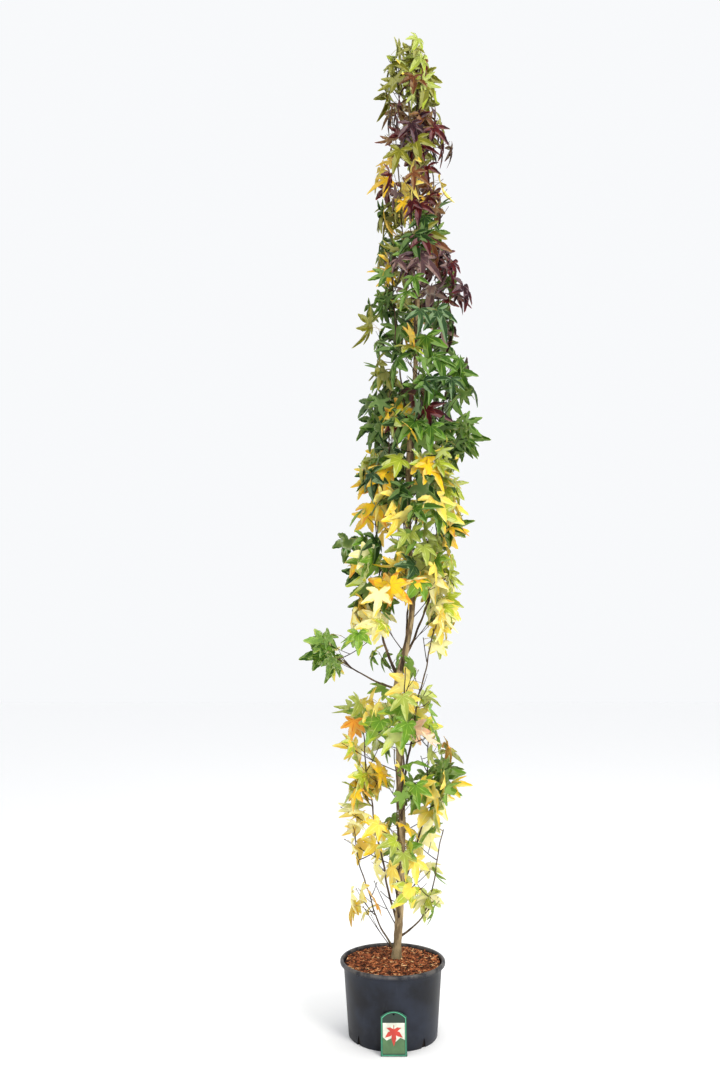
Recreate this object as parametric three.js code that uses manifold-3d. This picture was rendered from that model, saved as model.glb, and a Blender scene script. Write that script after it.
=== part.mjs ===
// A columnar sweetgum grown in a nursery pot: pot, potting mix, bark mulch, trunk, boughs,
// masses of foliage and a plant label.
// Millimetres, +Z up, +X to the tree's right, +Y to its back. The origin is the centre of the
// pot's flat underside.

import * as THREE from 'three';
import { mergeVertices } from 'three/addons/utils/BufferGeometryUtils.js';
import Module from 'manifold-3d';

const wasm = await Module();
wasm.setup();

// ---------------------------------------------------------------- driving dimensions

const CLEARANCE = 0.3; // between solids that touch
const MERGE_WITHIN = 1e-4;
const LEAST_CORNER_GAP = 0.012; // two corners of a mass of foliage are never closer than this

const POT_HEIGHT = 294;
const POT_FOOT_RADIUS = 182.5;
const POT_TOP_RADIUS = 204; // of the wall, where it meets the rim
const POT_WALL = 3.5;
const POT_FLOOR = 4;
const POT_SIDES = 32;
const RIM_RADIUS = 218.5;
const RIM_HEIGHT = 18;
const RIM_ROUNDING = 4;
const NOTCH_COUNT = 8; // drainage notches round the foot of the wall
const NOTCH_WIDTH = 24;
const NOTCH_HEIGHT = 36;
const NOTCH_DEPTH = 11;
const NOTCH_OVERCUT = 4; // how far the cutter stands out of the wall and below the floor
const FIRST_NOTCH_DEGREES = -50; // round from the front

const MULCH_FLOOR = 255;
const MULCH_EDGE = 284; // where the mulch meets the pot's wall
const MULCH_TOP = 296; // round the trunk
const MULCH_FLAT_RADIUS = 62;

const TREE_TOP = 4500;
const TRUNK_FOOT = MULCH_TOP + CLEARANCE;
const TRUNK_FOOT_RADIUS = 16;
const TRUNK_TIP_RADIUS = 2.5;
const TRUNK_TAPER = 0.62; // below 1 the trunk keeps its girth for longer
const FLARE = 9; // how far the root flare stands out of the trunk
const FLARE_FADES_OVER = 20;
const FLAT_CUT_WITHIN = 7; // corners this near the foot lie in its flat cut
const TRUNK_SIDES = 10;
const TRUNK_ROWS = 28;
const ROW_CROWDING = 1.5; // above 1 the rows of facets crowd towards the foot
const FRAMES_PER_ROW = 8; // how finely a limb's line is followed

// The trunk's centre line: [height, to the right, to the back].
const TRUNK_LINE = [
  [TRUNK_FOOT, 16, 6],
  [420, 26, 10],
  [850, 43, 16],
  [1000, 34, 18],
  [1250, 34, 20],
  [1420, 26, 22],
  [1580, 66, 24],
  [1760, 94, 26],
  [2165, 79, 28],
  [2470, 86, 30],
  [2750, 112, 32],
  [3610, 137, 34],
  [4010, 110, 28],
  [4420, 72, 20],
];

// How far the leaves reach from the pot's axis: [height, to the left, to the right].
const CROWN_REACH = [
  [430, 205, 235],
  [900, 255, 250],
  [1000, 215, 322],
  [1120, 225, 322],
  [1190, 282, 240],
  [1360, 225, 232],
  [1400, 430, 232],
  [1540, 440, 250],
  [1650, 430, 310],
  [1700, 190, 319],
  [1900, 215, 320],
  [2010, 286, 285],
  [2100, 262, 378],
  [2220, 175, 385],
  [2420, 168, 370],
  [2510, 177, 478],
  [2650, 160, 435],
  [2800, 128, 417],
  [2960, 176, 350],
  [3070, 186, 345],
  [3180, 118, 415],
  [3350, 120, 335],
  [3600, 80, 318],
  [3720, 122, 330],
  [3950, 60, 335],
  [4100, 60, 260],
  [TREE_TOP, 20, 215],
];
const LEAST_DEPTH = 150; // of the crown, from the trunk's line to its front or back
const MOST_DEPTH = 310;
const SECTOR_HALF_DEGREES = 45;
const SECTOR_WAVE_DEGREES = 9; // the sides of a mass's space wander by this much
const SECTOR_WAVE_LENGTH = 900;
const SPACES_LAP = 45; // how far leaves may hang past the sides and ends of that space

const LEAF_WIDTH = 192;
const LEAF_WIDTH_VARIES = 0.12;
const YOUNG_LEAVES_FROM = 3900; // above this height the leaves get smaller
const YOUNG_LEAF_SHARE = 0.6; // of the full width, at the top
const LEAF_THICKNESS = 4.4;
const TIP_DROOP = 0.09; // how far a leaf's lobe tips hang, as a share of its width
const ROOTS_SINK = 1.6; // how far past a twig's centre line a leaf stalk ends
const TWIG_RADIUS = 3.4;
const TWIG_TIP_RADIUS = 2;
const STEM_TIP_RADIUS = 2.4;
const TWIG_SIDES = 3;
const TWIG_ROWS = 2;
const STEM_ROWS = 4;
const BOUGH_SIDES = 5;
const BOUGH_ROWS = 4;
const LIMB_TIP_SHARE = 0.62; // of its root radius, that a bough keeps where it ends
const BOUGH_END = 0.5; // along the line that a bough shares with its stem
const SMALL_STEP = 0.0005;
const HEEL_RISE_SHARE = 0.36; // a bough leaves the trunk at a slant and soon turns up: by this
const HEEL_OUT_SHARE = 0.43; // share of its climb it has gone out by this share of its reach
const KNEE_RISE_SHARE = 0.5;
const KNEE_OUT_SHARE = 0.6;
const LEAF_TRIES = 60;
const LEAF_CLEARANCE = 0.5; // kept round a leaf when it is tried in its place
const LIMB_CLEARANCE = 0.6; // kept round a limb that leaves and twigs have to miss
const LOWEST_DROOP_DEGREES = -78; // leaves hang by up to this, and rise by the rest
const DROOP_VARIES_DEGREES = 105;
const BLADE_TURNS_DEGREES = 190; // round the twig, that blades face
const BLADE_LEAST_TILT = 0.15; // upwards, for each unit that a blade faces outwards
const BLADE_TILT_VARIES = 0.5;
const SMOOTH_WITHIN = 0.25; // corners closer than this are merged in a finished mass
const LEAVES_PER_TWIG = 3;
const FIRST_TWIG_SHARE = 0.08; // of the stem, below its first twig
const TWIGS_SPAN_SHARE = 0.86; // of the stem, over which twigs leave it
const FIRST_TWIG_STEP = 0.3; // where the turns from twig to twig begin
const TWIG_TURNS_DEGREES = 38; // to each side of the mass's middle
const TWIG_CLIMB = 50;
const TWIG_CLIMB_VARIES = 70;
const TWIG_SAG = 14;
const LEAST_ROOM_SHARE = 0.75; // of a leaf's width, from a twig's tip to the crown's outline
const ROOM_VARIES_SHARE = 0.5;
const LEAST_TWIG_SHARE = 0.36; // of the crown's reach, that every twig goes out
const TIP_SHARE = 0.97; // of a twig or stem, where its last leaf is rooted
const HALF_WAY = 0.62;
const NEAR_STEM = 0.4;
const SIDE_LEAF_DEGREES = 40; // that a side leaf turns away from its twig
const SPOTS_PER_LEAF = 2; // tried along the stem for each leaf still wanted
const STEM_LEAVES_TURN_DEGREES = 90;
const GOLDEN_SHARE = 0.618034;

// What each kind of leaf is after: the share of the crown's reach that its furthest corner comes
// to, how many degrees it is lifted, and how many it may turn from the way its twig points.
const TOP_LEAF = { share: 0.9, lift: 25, spread: 150 };
const LEADER_LEAF = { share: 0.9, lift: 70, spread: 150, high: true };
const OUTER_LEAF = { share: 1, lift: 10, spread: 50 };
const TIP_LEAF = { share: 0.93, lift: 0, spread: 150 };
const SIDE_LEAF = { share: 0.9, lift: -5, spread: 150 };
const INNER_LEAF = { share: 0.8, lift: -8, spread: 150 };

const FIRST_SEED = 7201;
const ENTRY_RISE = 30; // how far inside its mass's space a bough ends
const HEADROOM = 45; // between a stem's tip and the ceiling of its space
const LEADER_HEADROOM = 138; // the top leaves of the leader stand up in this

const LABEL_WIDTH = 103;
const LABEL_HEIGHT = 160;
const LABEL_ARCH = 20;
const LABEL_ARCH_FULLNESS = 0.55;
const LABEL_THICKNESS = 1.6;
const LABEL_HOLE_RADIUS = 4;
const LABEL_HOLE_FROM_TOP = 12;
const LABEL_TO_RIGHT = -4;
const LABEL_FOOT_OUT = 219; // in front of the pot's axis
const LABEL_TOP_OUT = 195.7;

// Each mass of foliage fills a space round the trunk. facing is where it lies, in degrees from
// the right towards the back; floor and ceiling are heights; root is the height at which its
// bough leaves the trunk; entry and tip are how far the bough's end and the stem's end stand
// from the trunk's line; girth is the bough's radius at its root; tint names one of COLOURS.
const MASS_COLUMNS = [
  'name',
  'facing',
  'floor',
  'ceiling',
  'root',
  'entry',
  'tip',
  'girth',
  'leaves',
  'tint',
];
const MASS_ROWS = [
  ['right_skirt', -8, 440, 860, 372, 106, 175, 4.2, 6, 'lime'],
  ['right_low', 8, 860, 1290, 540, 100, 135, 5, 12, 'lime'],
  ['right_waist', -12, 1290, 1800, 950, 80, 125, 5.4, 11, 'yellow'],
  ['right_mid', 10, 1800, 2340, 1530, 85, 150, 5.6, 16, 'gold'],
  ['right_broad', -12, 2340, 2900, 2010, 90, 165, 5.4, 20, 'green'],
  ['right_high', 10, 2900, 3490, 2560, 80, 125, 5, 19, 'green'],
  ['right_crest', -10, 3490, 4110, 3150, 66, 100, 4.4, 19, 'maroon'],
  ['left_skirt', 186, 430, 870, 312, 94, 210, 4.2, 7, 'yellow'],
  ['left_low', 172, 870, 1375, 410, 125, 165, 4.8, 14, 'lime'],
  ['left_spray', 184, 1440, 1620, 1400, 170, 345, 4.6, 9, 'yellow'],
  ['left_mid', 172, 1640, 2240, 1440, 124, 150, 7, 15, 'gold'],
  ['left_broad', 188, 2240, 2850, 1960, 80, 115, 5.4, 19, 'green'],
  ['left_high', 172, 2850, 3450, 2560, 78, 120, 5, 18, 'green'],
  ['left_crest', 188, 3450, 4120, 3160, 68, 85, 4.4, 18, 'maroon'],
  ['front_skirt', 262, 500, 1120, 450, 80, 110, 4.6, 9, 'yellow'],
  ['front_low', 278, 1120, 1540, 820, 85, 120, 5, 10, 'lime'],
  ['front_mid', 262, 1740, 2400, 1450, 80, 135, 5.4, 18, 'gold'],
  ['front_high', 278, 2400, 3200, 2120, 84, 130, 5.2, 24, 'deepGreen'],
  ['front_crest', 262, 3200, 4090, 2880, 72, 95, 4.6, 25, 'maroon'],
  ['back_skirt', 98, 520, 1180, 480, 80, 115, 4.6, 9, 'yellow'],
  ['back_low', 82, 1180, 1620, 900, 85, 120, 5, 10, 'lime'],
  ['back_mid', 98, 1780, 2520, 1560, 80, 135, 5.4, 19, 'gold'],
  ['back_high', 82, 2520, 3300, 2240, 84, 130, 5.2, 23, 'green'],
  ['back_crest', 98, 3300, 4090, 2990, 72, 95, 4.6, 22, 'maroon'],
];

// The two masses round the leader grow straight from the trunk, each filling half the round.
const LEADER_ROWS = [
  ['leader_right', -15, 4100, TREE_TOP, 4060, 40, 70, 3.4, 11, 'lime'],
  ['leader_left', 165, 4100, TREE_TOP, 4075, 36, 46, 3.4, 10, 'lime'],
];
const LEADER_HALF_DEGREES = 88;

const COLOURS = {
  pot: 0x24272c,
  pottingMix: 0x2e2118,
  mulch: 0x7a4a33,
  bark: 0x857a68,
  label: 0x1f6b55,
  yellow: 0xe8cf4e,
  gold: 0xe0a526,
  green: 0x3f6b35,
  deepGreen: 0x2c5236,
  maroon: 0x5b2b35,
  lime: 0xa9ad45,
};

const asMass = (row) => Object.fromEntries(MASS_COLUMNS.map((column, index) => [column, row[index]]));
const boughMasses = MASS_ROWS.map(asMass);
const leaderMasses = LEADER_ROWS.map((row) => ({ ...asMass(row), half: LEADER_HALF_DEGREES }));

// ---------------------------------------------------------------- solids and small helpers

const material = (color, roughness) => new THREE.MeshStandardMaterial({ color, roughness, metalness: 0 });

function toSolid(geometry) {
  geometry.deleteAttribute('normal');
  geometry.deleteAttribute('uv');
  const merged = mergeVertices(geometry, MERGE_WITHIN);
  const vertProperties = Float32Array.from(merged.attributes.position.array);
  const triVerts = Uint32Array.from(merged.index.array);
  return new wasm.Manifold(new wasm.Mesh({ numProp: 3, vertProperties, triVerts }));
}

function toGeometry(solid) {
  const mesh = solid.getMesh();
  const geometry = new THREE.BufferGeometry();
  geometry.setAttribute('position', new THREE.BufferAttribute(Float32Array.from(mesh.vertProperties), 3));
  geometry.setIndex(new THREE.BufferAttribute(Uint32Array.from(mesh.triVerts), 1));
  return geometry;
}

// The outside of the largest piece: loose scraps and sealed hollows are dropped.
function largestPiece(solid) {
  const pieces = solid.decompose();
  return pieces.reduce((largest, piece) => (piece.volume() > largest.volume() ? piece : largest));
}

function seededRandom(seed) {
  let state = seed >>> 0;
  return () => {
    state = (Math.imul(state, 1664525) + 1013904223) >>> 0;
    return state / 4294967296;
  };
}

function alongTable(table, height, column) {
  const above = table.findIndex((row) => row[0] >= height);
  if (above === 0) return table[0][column];
  if (above < 0) return table[table.length - 1][column];
  const [low, high] = [table[above - 1], table[above]];
  const share = (height - low[0]) / (high[0] - low[0]);
  return THREE.MathUtils.lerp(low[column], high[column], share);
}

const clamp = THREE.MathUtils.clamp;
const radians = THREE.MathUtils.degToRad;
const trunkX = (height) => alongTable(TRUNK_LINE, height, 1);
const trunkY = (height) => alongTable(TRUNK_LINE, height, 2);

// How far the crown reaches from the trunk's line at a height, towards an azimuth.
function crownReach(height, degrees) {
  const axis = trunkX(height);
  const toLeft = alongTable(CROWN_REACH, height, 1) + axis;
  const toRight = alongTable(CROWN_REACH, height, 2) - axis;
  const sideways = Math.cos(radians(degrees)) < 0 ? toLeft : toRight;
  const deep = clamp((toLeft + toRight) / 2, LEAST_DEPTH, MOST_DEPTH);
  const across = Math.cos(radians(degrees)) / sideways;
  const along = Math.sin(radians(degrees)) / deep;
  return 1 / Math.hypot(across, along);
}

function placeAt(degrees, out, height) {
  const turn = radians(degrees);
  return new THREE.Vector3(
    trunkX(height) + out * Math.cos(turn),
    trunkY(height) + out * Math.sin(turn),
    height,
  );
}

// ---------------------------------------------------------------- pot, mix, mulch and label

const wallRadius = (height) =>
  THREE.MathUtils.mapLinear(height, 0, POT_HEIGHT - RIM_HEIGHT, POT_FOOT_RADIUS, POT_TOP_RADIUS);
const insideRadius = (height) => wallRadius(height) - POT_WALL;

function turned(profile) {
  const points = profile.map(([radius, height]) => new THREE.Vector2(radius, height));
  return new THREE.LatheGeometry(points, POT_SIDES).rotateX(Math.PI / 2);
}

function potSolid() {
  const underRim = POT_HEIGHT - RIM_HEIGHT;
  const shell = toSolid(
    turned([
      [0, 0],
      [POT_FOOT_RADIUS, 0],
      [POT_TOP_RADIUS, underRim],
      [RIM_RADIUS - RIM_ROUNDING, underRim],
      [RIM_RADIUS, underRim + RIM_ROUNDING],
      [RIM_RADIUS, POT_HEIGHT - RIM_ROUNDING],
      [RIM_RADIUS - RIM_ROUNDING, POT_HEIGHT],
      [POT_TOP_RADIUS + RIM_ROUNDING, POT_HEIGHT],
      [POT_TOP_RADIUS, POT_HEIGHT - RIM_ROUNDING],
      [insideRadius(underRim), underRim - RIM_ROUNDING],
      [insideRadius(POT_FLOOR), POT_FLOOR],
      [0, POT_FLOOR],
    ]),
  );
  const notch = new THREE.Shape();
  notch.moveTo(-NOTCH_WIDTH / 2, -NOTCH_OVERCUT);
  notch.lineTo(NOTCH_WIDTH / 2, -NOTCH_OVERCUT);
  notch.lineTo(0, NOTCH_HEIGHT);
  notch.closePath();
  const cutters = Array.from({ length: NOTCH_COUNT }, (_, index) => {
    const cutter = new THREE.ExtrudeGeometry(notch, { depth: NOTCH_DEPTH, bevelEnabled: false });
    cutter.rotateX(Math.PI / 2);
    cutter.translate(0, -POT_FOOT_RADIUS + NOTCH_DEPTH - NOTCH_OVERCUT, 0);
    cutter.rotateZ(radians(FIRST_NOTCH_DEGREES + (360 * index) / NOTCH_COUNT));
    return toSolid(cutter);
  });
  return cutters.reduce((pot, cutter) => pot.subtract(cutter), shell);
}

const mixGeometry = () =>
  turned([
    [0, POT_FLOOR + CLEARANCE],
    [insideRadius(POT_FLOOR) - CLEARANCE, POT_FLOOR + CLEARANCE],
    [insideRadius(MULCH_FLOOR) - CLEARANCE, MULCH_FLOOR - CLEARANCE],
    [0, MULCH_FLOOR - CLEARANCE],
  ]);

const mulchGeometry = () =>
  turned([
    [0, MULCH_FLOOR],
    [insideRadius(MULCH_FLOOR) - CLEARANCE, MULCH_FLOOR],
    [insideRadius(MULCH_EDGE) - CLEARANCE, MULCH_EDGE],
    [MULCH_FLAT_RADIUS, MULCH_TOP],
    [0, MULCH_TOP],
  ]);

function labelGeometry() {
  const half = LABEL_WIDTH / 2;
  const shoulder = LABEL_HEIGHT - LABEL_ARCH;
  const card = new THREE.Shape();
  card.moveTo(-half, 0);
  card.lineTo(half, 0);
  card.lineTo(half, shoulder);
  card.quadraticCurveTo(half * LABEL_ARCH_FULLNESS, LABEL_HEIGHT, 0, LABEL_HEIGHT);
  card.quadraticCurveTo(-half * LABEL_ARCH_FULLNESS, LABEL_HEIGHT, -half, shoulder);
  card.closePath();
  const hole = new THREE.Path();
  hole.absarc(0, LABEL_HEIGHT - LABEL_HOLE_FROM_TOP, LABEL_HOLE_RADIUS, 0, 2 * Math.PI, true);
  card.holes.push(hole);
  const lean = Math.asin((LABEL_FOOT_OUT - LABEL_TOP_OUT) / LABEL_HEIGHT);
  const settings = { depth: LABEL_THICKNESS, bevelEnabled: false, curveSegments: 8 };
  const geometry = new THREE.ExtrudeGeometry(card, settings);
  geometry.rotateX(Math.PI / 2 - lean);
  return geometry.translate(LABEL_TO_RIGHT, -LABEL_FOOT_OUT, CLEARANCE);
}

// ---------------------------------------------------------------- trunk and boughs

// A stretch of a longer curve, so that a bough and the stem that follows it share one line.
class Stretch extends THREE.Curve {
  constructor(path, from, to) {
    super();
    this.path = path;
    this.from = from;
    this.to = to;
  }

  getPoint(share, target = new THREE.Vector3()) {
    return this.path.getPoint(THREE.MathUtils.lerp(this.from, this.to, share), target);
  }
}

// A closed limb: a cylinder bent along a curve, with its rows crowded towards its root where
// crowding is above 1.
function limbGeometry(curve, radiusAt, { sides, rows, crowding = 1 }) {
  const straight = new THREE.CylinderGeometry(1, 1, 1, sides, rows);
  const steps = rows * FRAMES_PER_ROW;
  const frames = curve.computeFrenetFrames(steps, false);
  const places = straight.attributes.position;
  const spot = new THREE.Vector3();
  for (let index = 0; index < places.count; index += 1) {
    const row = Math.round((places.getY(index) + 0.5) * rows) / rows;
    const share = row ** crowding;
    const step = Math.round(share * steps);
    const radius = radiusAt(share);
    spot.copy(curve.getPointAt(share));
    spot.addScaledVector(frames.normals[step], places.getX(index) * radius);
    spot.addScaledVector(frames.binormals[step], -places.getZ(index) * radius);
    places.setXYZ(index, spot.x, spot.y, spot.z);
  }
  return straight;
}

const trunkCurve = new THREE.CatmullRomCurve3(
  TRUNK_LINE.map(([height, toRight, toBack]) => new THREE.Vector3(toRight, toBack, height)),
  false,
  'centripetal',
);

function trunkRadius(share) {
  const taper = (TRUNK_FOOT_RADIUS - TRUNK_TIP_RADIUS) * (1 - share) ** TRUNK_TAPER;
  const climbed = share * (TREE_TOP - TRUNK_FOOT);
  return TRUNK_TIP_RADIUS + taper + FLARE * Math.exp(-climbed / FLARE_FADES_OVER);
}

function trunkSolid(extra) {
  const settings = { sides: TRUNK_SIDES, rows: TRUNK_ROWS, crowding: ROW_CROWDING };
  const geometry = limbGeometry(trunkCurve, (share) => trunkRadius(share) + extra, settings);
  const places = geometry.attributes.position;
  for (let index = 0; index < places.count; index += 1) {
    const isFootRow = places.getZ(index) < TRUNK_FOOT + FLAT_CUT_WITHIN;
    if (isFootRow) places.setZ(index, TRUNK_FOOT - extra);
  }
  return toSolid(geometry);
}

// The line of a bough and of the stem that carries its leaves on: the two meet half way.
function boughLine(mass) {
  const headroom = mass.half ? LEADER_HEADROOM : HEADROOM;
  const stemTop = mass.ceiling - headroom;
  const foot = placeAt(mass.facing, 0, mass.root);
  const entryHeight = mass.floor + ENTRY_RISE;
  const entry = placeAt(mass.facing, mass.entry, entryHeight);
  const heelHeight = THREE.MathUtils.lerp(mass.root, entryHeight, HEEL_RISE_SHARE);
  const heel = placeAt(mass.facing, mass.entry * HEEL_OUT_SHARE, heelHeight);
  const kneeHeight = THREE.MathUtils.lerp(entryHeight, stemTop, KNEE_RISE_SHARE);
  const kneeOut = THREE.MathUtils.lerp(mass.entry, mass.tip, KNEE_OUT_SHARE);
  const knee = placeAt(mass.facing, kneeOut, kneeHeight);
  const top = placeAt(mass.facing, mass.tip, stemTop);
  return new THREE.CatmullRomCurve3([foot, heel, entry, knee, top], false, 'centripetal');
}

function boughSolid(mass, extra) {
  const curve = new Stretch(boughLine(mass), 0, BOUGH_END);
  const radiusAt = (share) => mass.girth * THREE.MathUtils.lerp(1, LIMB_TIP_SHARE, share) + extra;
  return toSolid(limbGeometry(curve, radiusAt, { sides: BOUGH_SIDES, rows: BOUGH_ROWS }));
}

// ---------------------------------------------------------------- leaves

// A leaf's outline for a width of 1, from the right side of its stalk round to the left, as
// [degrees from the tip, length] from the point where the stalk meets the blade.
const HALF_OUTLINE = [
  [140, 0.045],
  [104, 0.42],
  [77, 0.25],
  [52, 0.63],
  [26, 0.33],
];
const MIDDLE_LOBE = 0.88;
const BLADE_CENTRE = 0.14;
const STALK_LENGTH = 0.34;

// A leaf is two shallow fans on one outline, whose stalk narrows to a point inside the twig.
function leafGeometry(width, extra) {
  const side = HALF_OUTLINE.map(([degrees, length]) => [
    Math.sin(radians(degrees)) * length,
    Math.cos(radians(degrees)) * length,
  ]);
  const outline = [...side, [0, MIDDLE_LOBE], ...side.map(([x, y]) => [-x, y]).reverse()];
  const points = outline.map(([x, y]) => {
    const droop = TIP_DROOP * Math.hypot(x, y) ** 2 * width;
    const grown = width + extra * 2;
    return new THREE.Vector3(x * grown, (y + STALK_LENGTH) * grown, -droop);
  });
  points.push(new THREE.Vector3(0, -ROOTS_SINK, 0));
  const middle = (BLADE_CENTRE + STALK_LENGTH) * width;
  const [upper, under] = [points.length, points.length + 1];
  const triangles = points.flatMap((_, index) => {
    const next = (index + 1) % upper;
    return [upper, index, next, under, next, index];
  });
  points.push(new THREE.Vector3(0, middle, LEAF_THICKNESS / 2 + extra));
  points.push(new THREE.Vector3(0, middle, -LEAF_THICKNESS / 2 - extra));
  return new THREE.BufferGeometry().setFromPoints(points).setIndex(triangles);
}

// Stands a leaf at a place, with its stalk's root there, its tip towards a direction and the
// upper face of its blade turned as far as it will go towards another.
function placedLeaf(geometry, place, towards, facing) {
  const across = new THREE.Vector3().crossVectors(towards, facing).normalize();
  const upward = new THREE.Vector3().crossVectors(across, towards);
  const stand = new THREE.Matrix4().makeBasis(across, towards, upward).setPosition(place);
  return geometry.clone().applyMatrix4(stand);
}

// ---------------------------------------------------------------- masses of foliage

function box(solid) {
  const { min, max } = solid.boundingBox();
  return new THREE.Box3(new THREE.Vector3(...min), new THREE.Vector3(...max));
}

const obstacle = (solid) => ({ solid, box: box(solid) });

function clashes(solid, obstacles) {
  const own = box(solid);
  return obstacles.some((other) => {
    if (!own.intersectsBox(other.box)) return false;
    const shared = solid.intersect(other.solid);
    const empty = shared.isEmpty();
    shared.delete();
    return !empty;
  });
}

const wave = (height, phase) =>
  SECTOR_WAVE_DEGREES * Math.sin((2 * Math.PI * height) / SECTOR_WAVE_LENGTH + phase);

// The middle of the sector that a mass fills: to the right, back, left or front.
const sectorMiddle = (mass) => Math.round(mass.facing / 90) * 90;

// The furthest and the highest that any corner goes, as shares of the crown's reach there and of
// the tree's height, or null where a corner leaves the mass's space.
function cornerShares(mass, geometry) {
  const places = geometry.attributes.position;
  const half = mass.half ?? SECTOR_HALF_DEGREES;
  const middle = mass.half ? mass.facing : sectorMiddle(mass);
  const lowest = mass.floor - SPACES_LAP;
  const topmost = Math.min(mass.ceiling + SPACES_LAP, TREE_TOP);
  let furthest = 0;
  let highest = 0;
  for (let index = 0; index < places.count; index += 1) {
    const height = places.getZ(index);
    if (height < lowest || height > topmost) return null;
    const x = places.getX(index) - trunkX(height);
    const y = places.getY(index) - trunkY(height);
    const out = Math.hypot(x, y);
    const degrees = THREE.MathUtils.radToDeg(Math.atan2(y, x));
    for (const side of [-1, 1]) {
      const edge = radians(middle + side * half + wave(height, radians(middle + side * half)));
      const inside = side * (Math.sin(edge) * x - Math.cos(edge) * y);
      if (inside < -SPACES_LAP) return null;
    }
    furthest = Math.max(furthest, out / crownReach(height, degrees));
    highest = Math.max(highest, height / TREE_TOP);
  }
  return { furthest, highest };
}

function leafWidthAt(height) {
  const young = clamp((height - YOUNG_LEAVES_FROM) / (TREE_TOP - YOUNG_LEAVES_FROM), 0, 1);
  return LEAF_WIDTH * THREE.MathUtils.lerp(1, YOUNG_LEAF_SHARE, young);
}

// One leaf: the try that comes nearest to the crown's outline and touches nothing.
function growLeaf(mass, random, place, degrees, obstacles, wants) {
  const width = leafWidthAt(place.z) * (1 + LEAF_WIDTH_VARIES * (2 * random() - 1));
  const leaf = leafGeometry(width, 0);
  const clear = leafGeometry(width, LEAF_CLEARANCE);
  const tries = [];
  for (let index = 0; index < LEAF_TRIES; index += 1) {
    const turn = radians(degrees + wants.spread * (random() - 0.5));
    const droop = radians(LOWEST_DROOP_DEGREES + DROOP_VARIES_DEGREES * random() + wants.lift);
    const towards = new THREE.Vector3(
      Math.cos(turn) * Math.cos(droop),
      Math.sin(turn) * Math.cos(droop),
      Math.sin(droop),
    );
    const outward = radians(degrees + BLADE_TURNS_DEGREES * (random() - 0.5));
    const tilt = BLADE_LEAST_TILT + BLADE_TILT_VARIES * random();
    const facing = new THREE.Vector3(Math.cos(outward), Math.sin(outward), tilt);
    const shares = cornerShares(mass, placedLeaf(leaf, place, towards, facing));
    if (!shares || shares.furthest > 1) continue;
    const missedBy = wants.high ? 1 - shares.highest : Math.abs(shares.furthest - wants.share);
    tries.push({ towards, facing, missedBy });
  }
  tries.sort((one, other) => one.missedBy - other.missedBy);
  for (const { towards, facing } of tries) {
    const guarded = toSolid(placedLeaf(clear, place, towards, facing));
    const clash = clashes(guarded, obstacles);
    if (!clash) return { solid: toSolid(placedLeaf(leaf, place, towards, facing)), guarded };
    guarded.delete();
  }
  return null;
}

function stemCurve(mass) {
  const line = boughLine(mass);
  if (mass.half) return new Stretch(line, 0, 1);
  const aLittleOn = BOUGH_END + SMALL_STEP;
  const speed = line.getPoint(BOUGH_END).distanceTo(line.getPoint(aLittleOn)) / SMALL_STEP;
  return new Stretch(line, BOUGH_END + CLEARANCE / speed, 1);
}

// The twigs leave the stem in turn to one side and the other, and rise towards the outline.
function twigCurves(mass, stem, random) {
  const count = Math.max(2, Math.round(mass.leaves / LEAVES_PER_TWIG) - 1);
  return Array.from({ length: count }, (_, index) => {
    const share = FIRST_TWIG_SHARE + (TWIGS_SPAN_SHARE * (index + FIRST_TWIG_STEP)) / count;
    const foot = stem.getPointAt(share);
    const turn = (((FIRST_TWIG_STEP + index * GOLDEN_SHARE) % 1) * 2 - 1) * TWIG_TURNS_DEGREES;
    const degrees = sectorMiddle(mass) + turn + (mass.half ? turn : 0);
    const climb = TWIG_CLIMB + TWIG_CLIMB_VARIES * random();
    const height = Math.min(foot.z + climb, mass.ceiling - HEADROOM / 2);
    const reach = crownReach(height, degrees);
    const leafRoom = LEAF_WIDTH * (LEAST_ROOM_SHARE + ROOM_VARIES_SHARE * random());
    const tip = placeAt(degrees, Math.max(reach - leafRoom, reach * LEAST_TWIG_SHARE), height);
    const bend = foot.clone().lerp(tip, 0.5);
    bend.z -= TWIG_SAG;
    return { curve: new THREE.QuadraticBezierCurve3(foot, bend, tip), degrees };
  });
}

function stemSolid(mass, extra) {
  const rootRadius = mass.girth * LIMB_TIP_SHARE;
  const radiusAt = (share) => THREE.MathUtils.lerp(rootRadius, STEM_TIP_RADIUS, share) + extra;
  const shape = limbGeometry(stemCurve(mass), radiusAt, { sides: TWIG_SIDES, rows: STEM_ROWS });
  return largestPiece(toSolid(shape).subtract(trunkClear));
}

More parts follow.
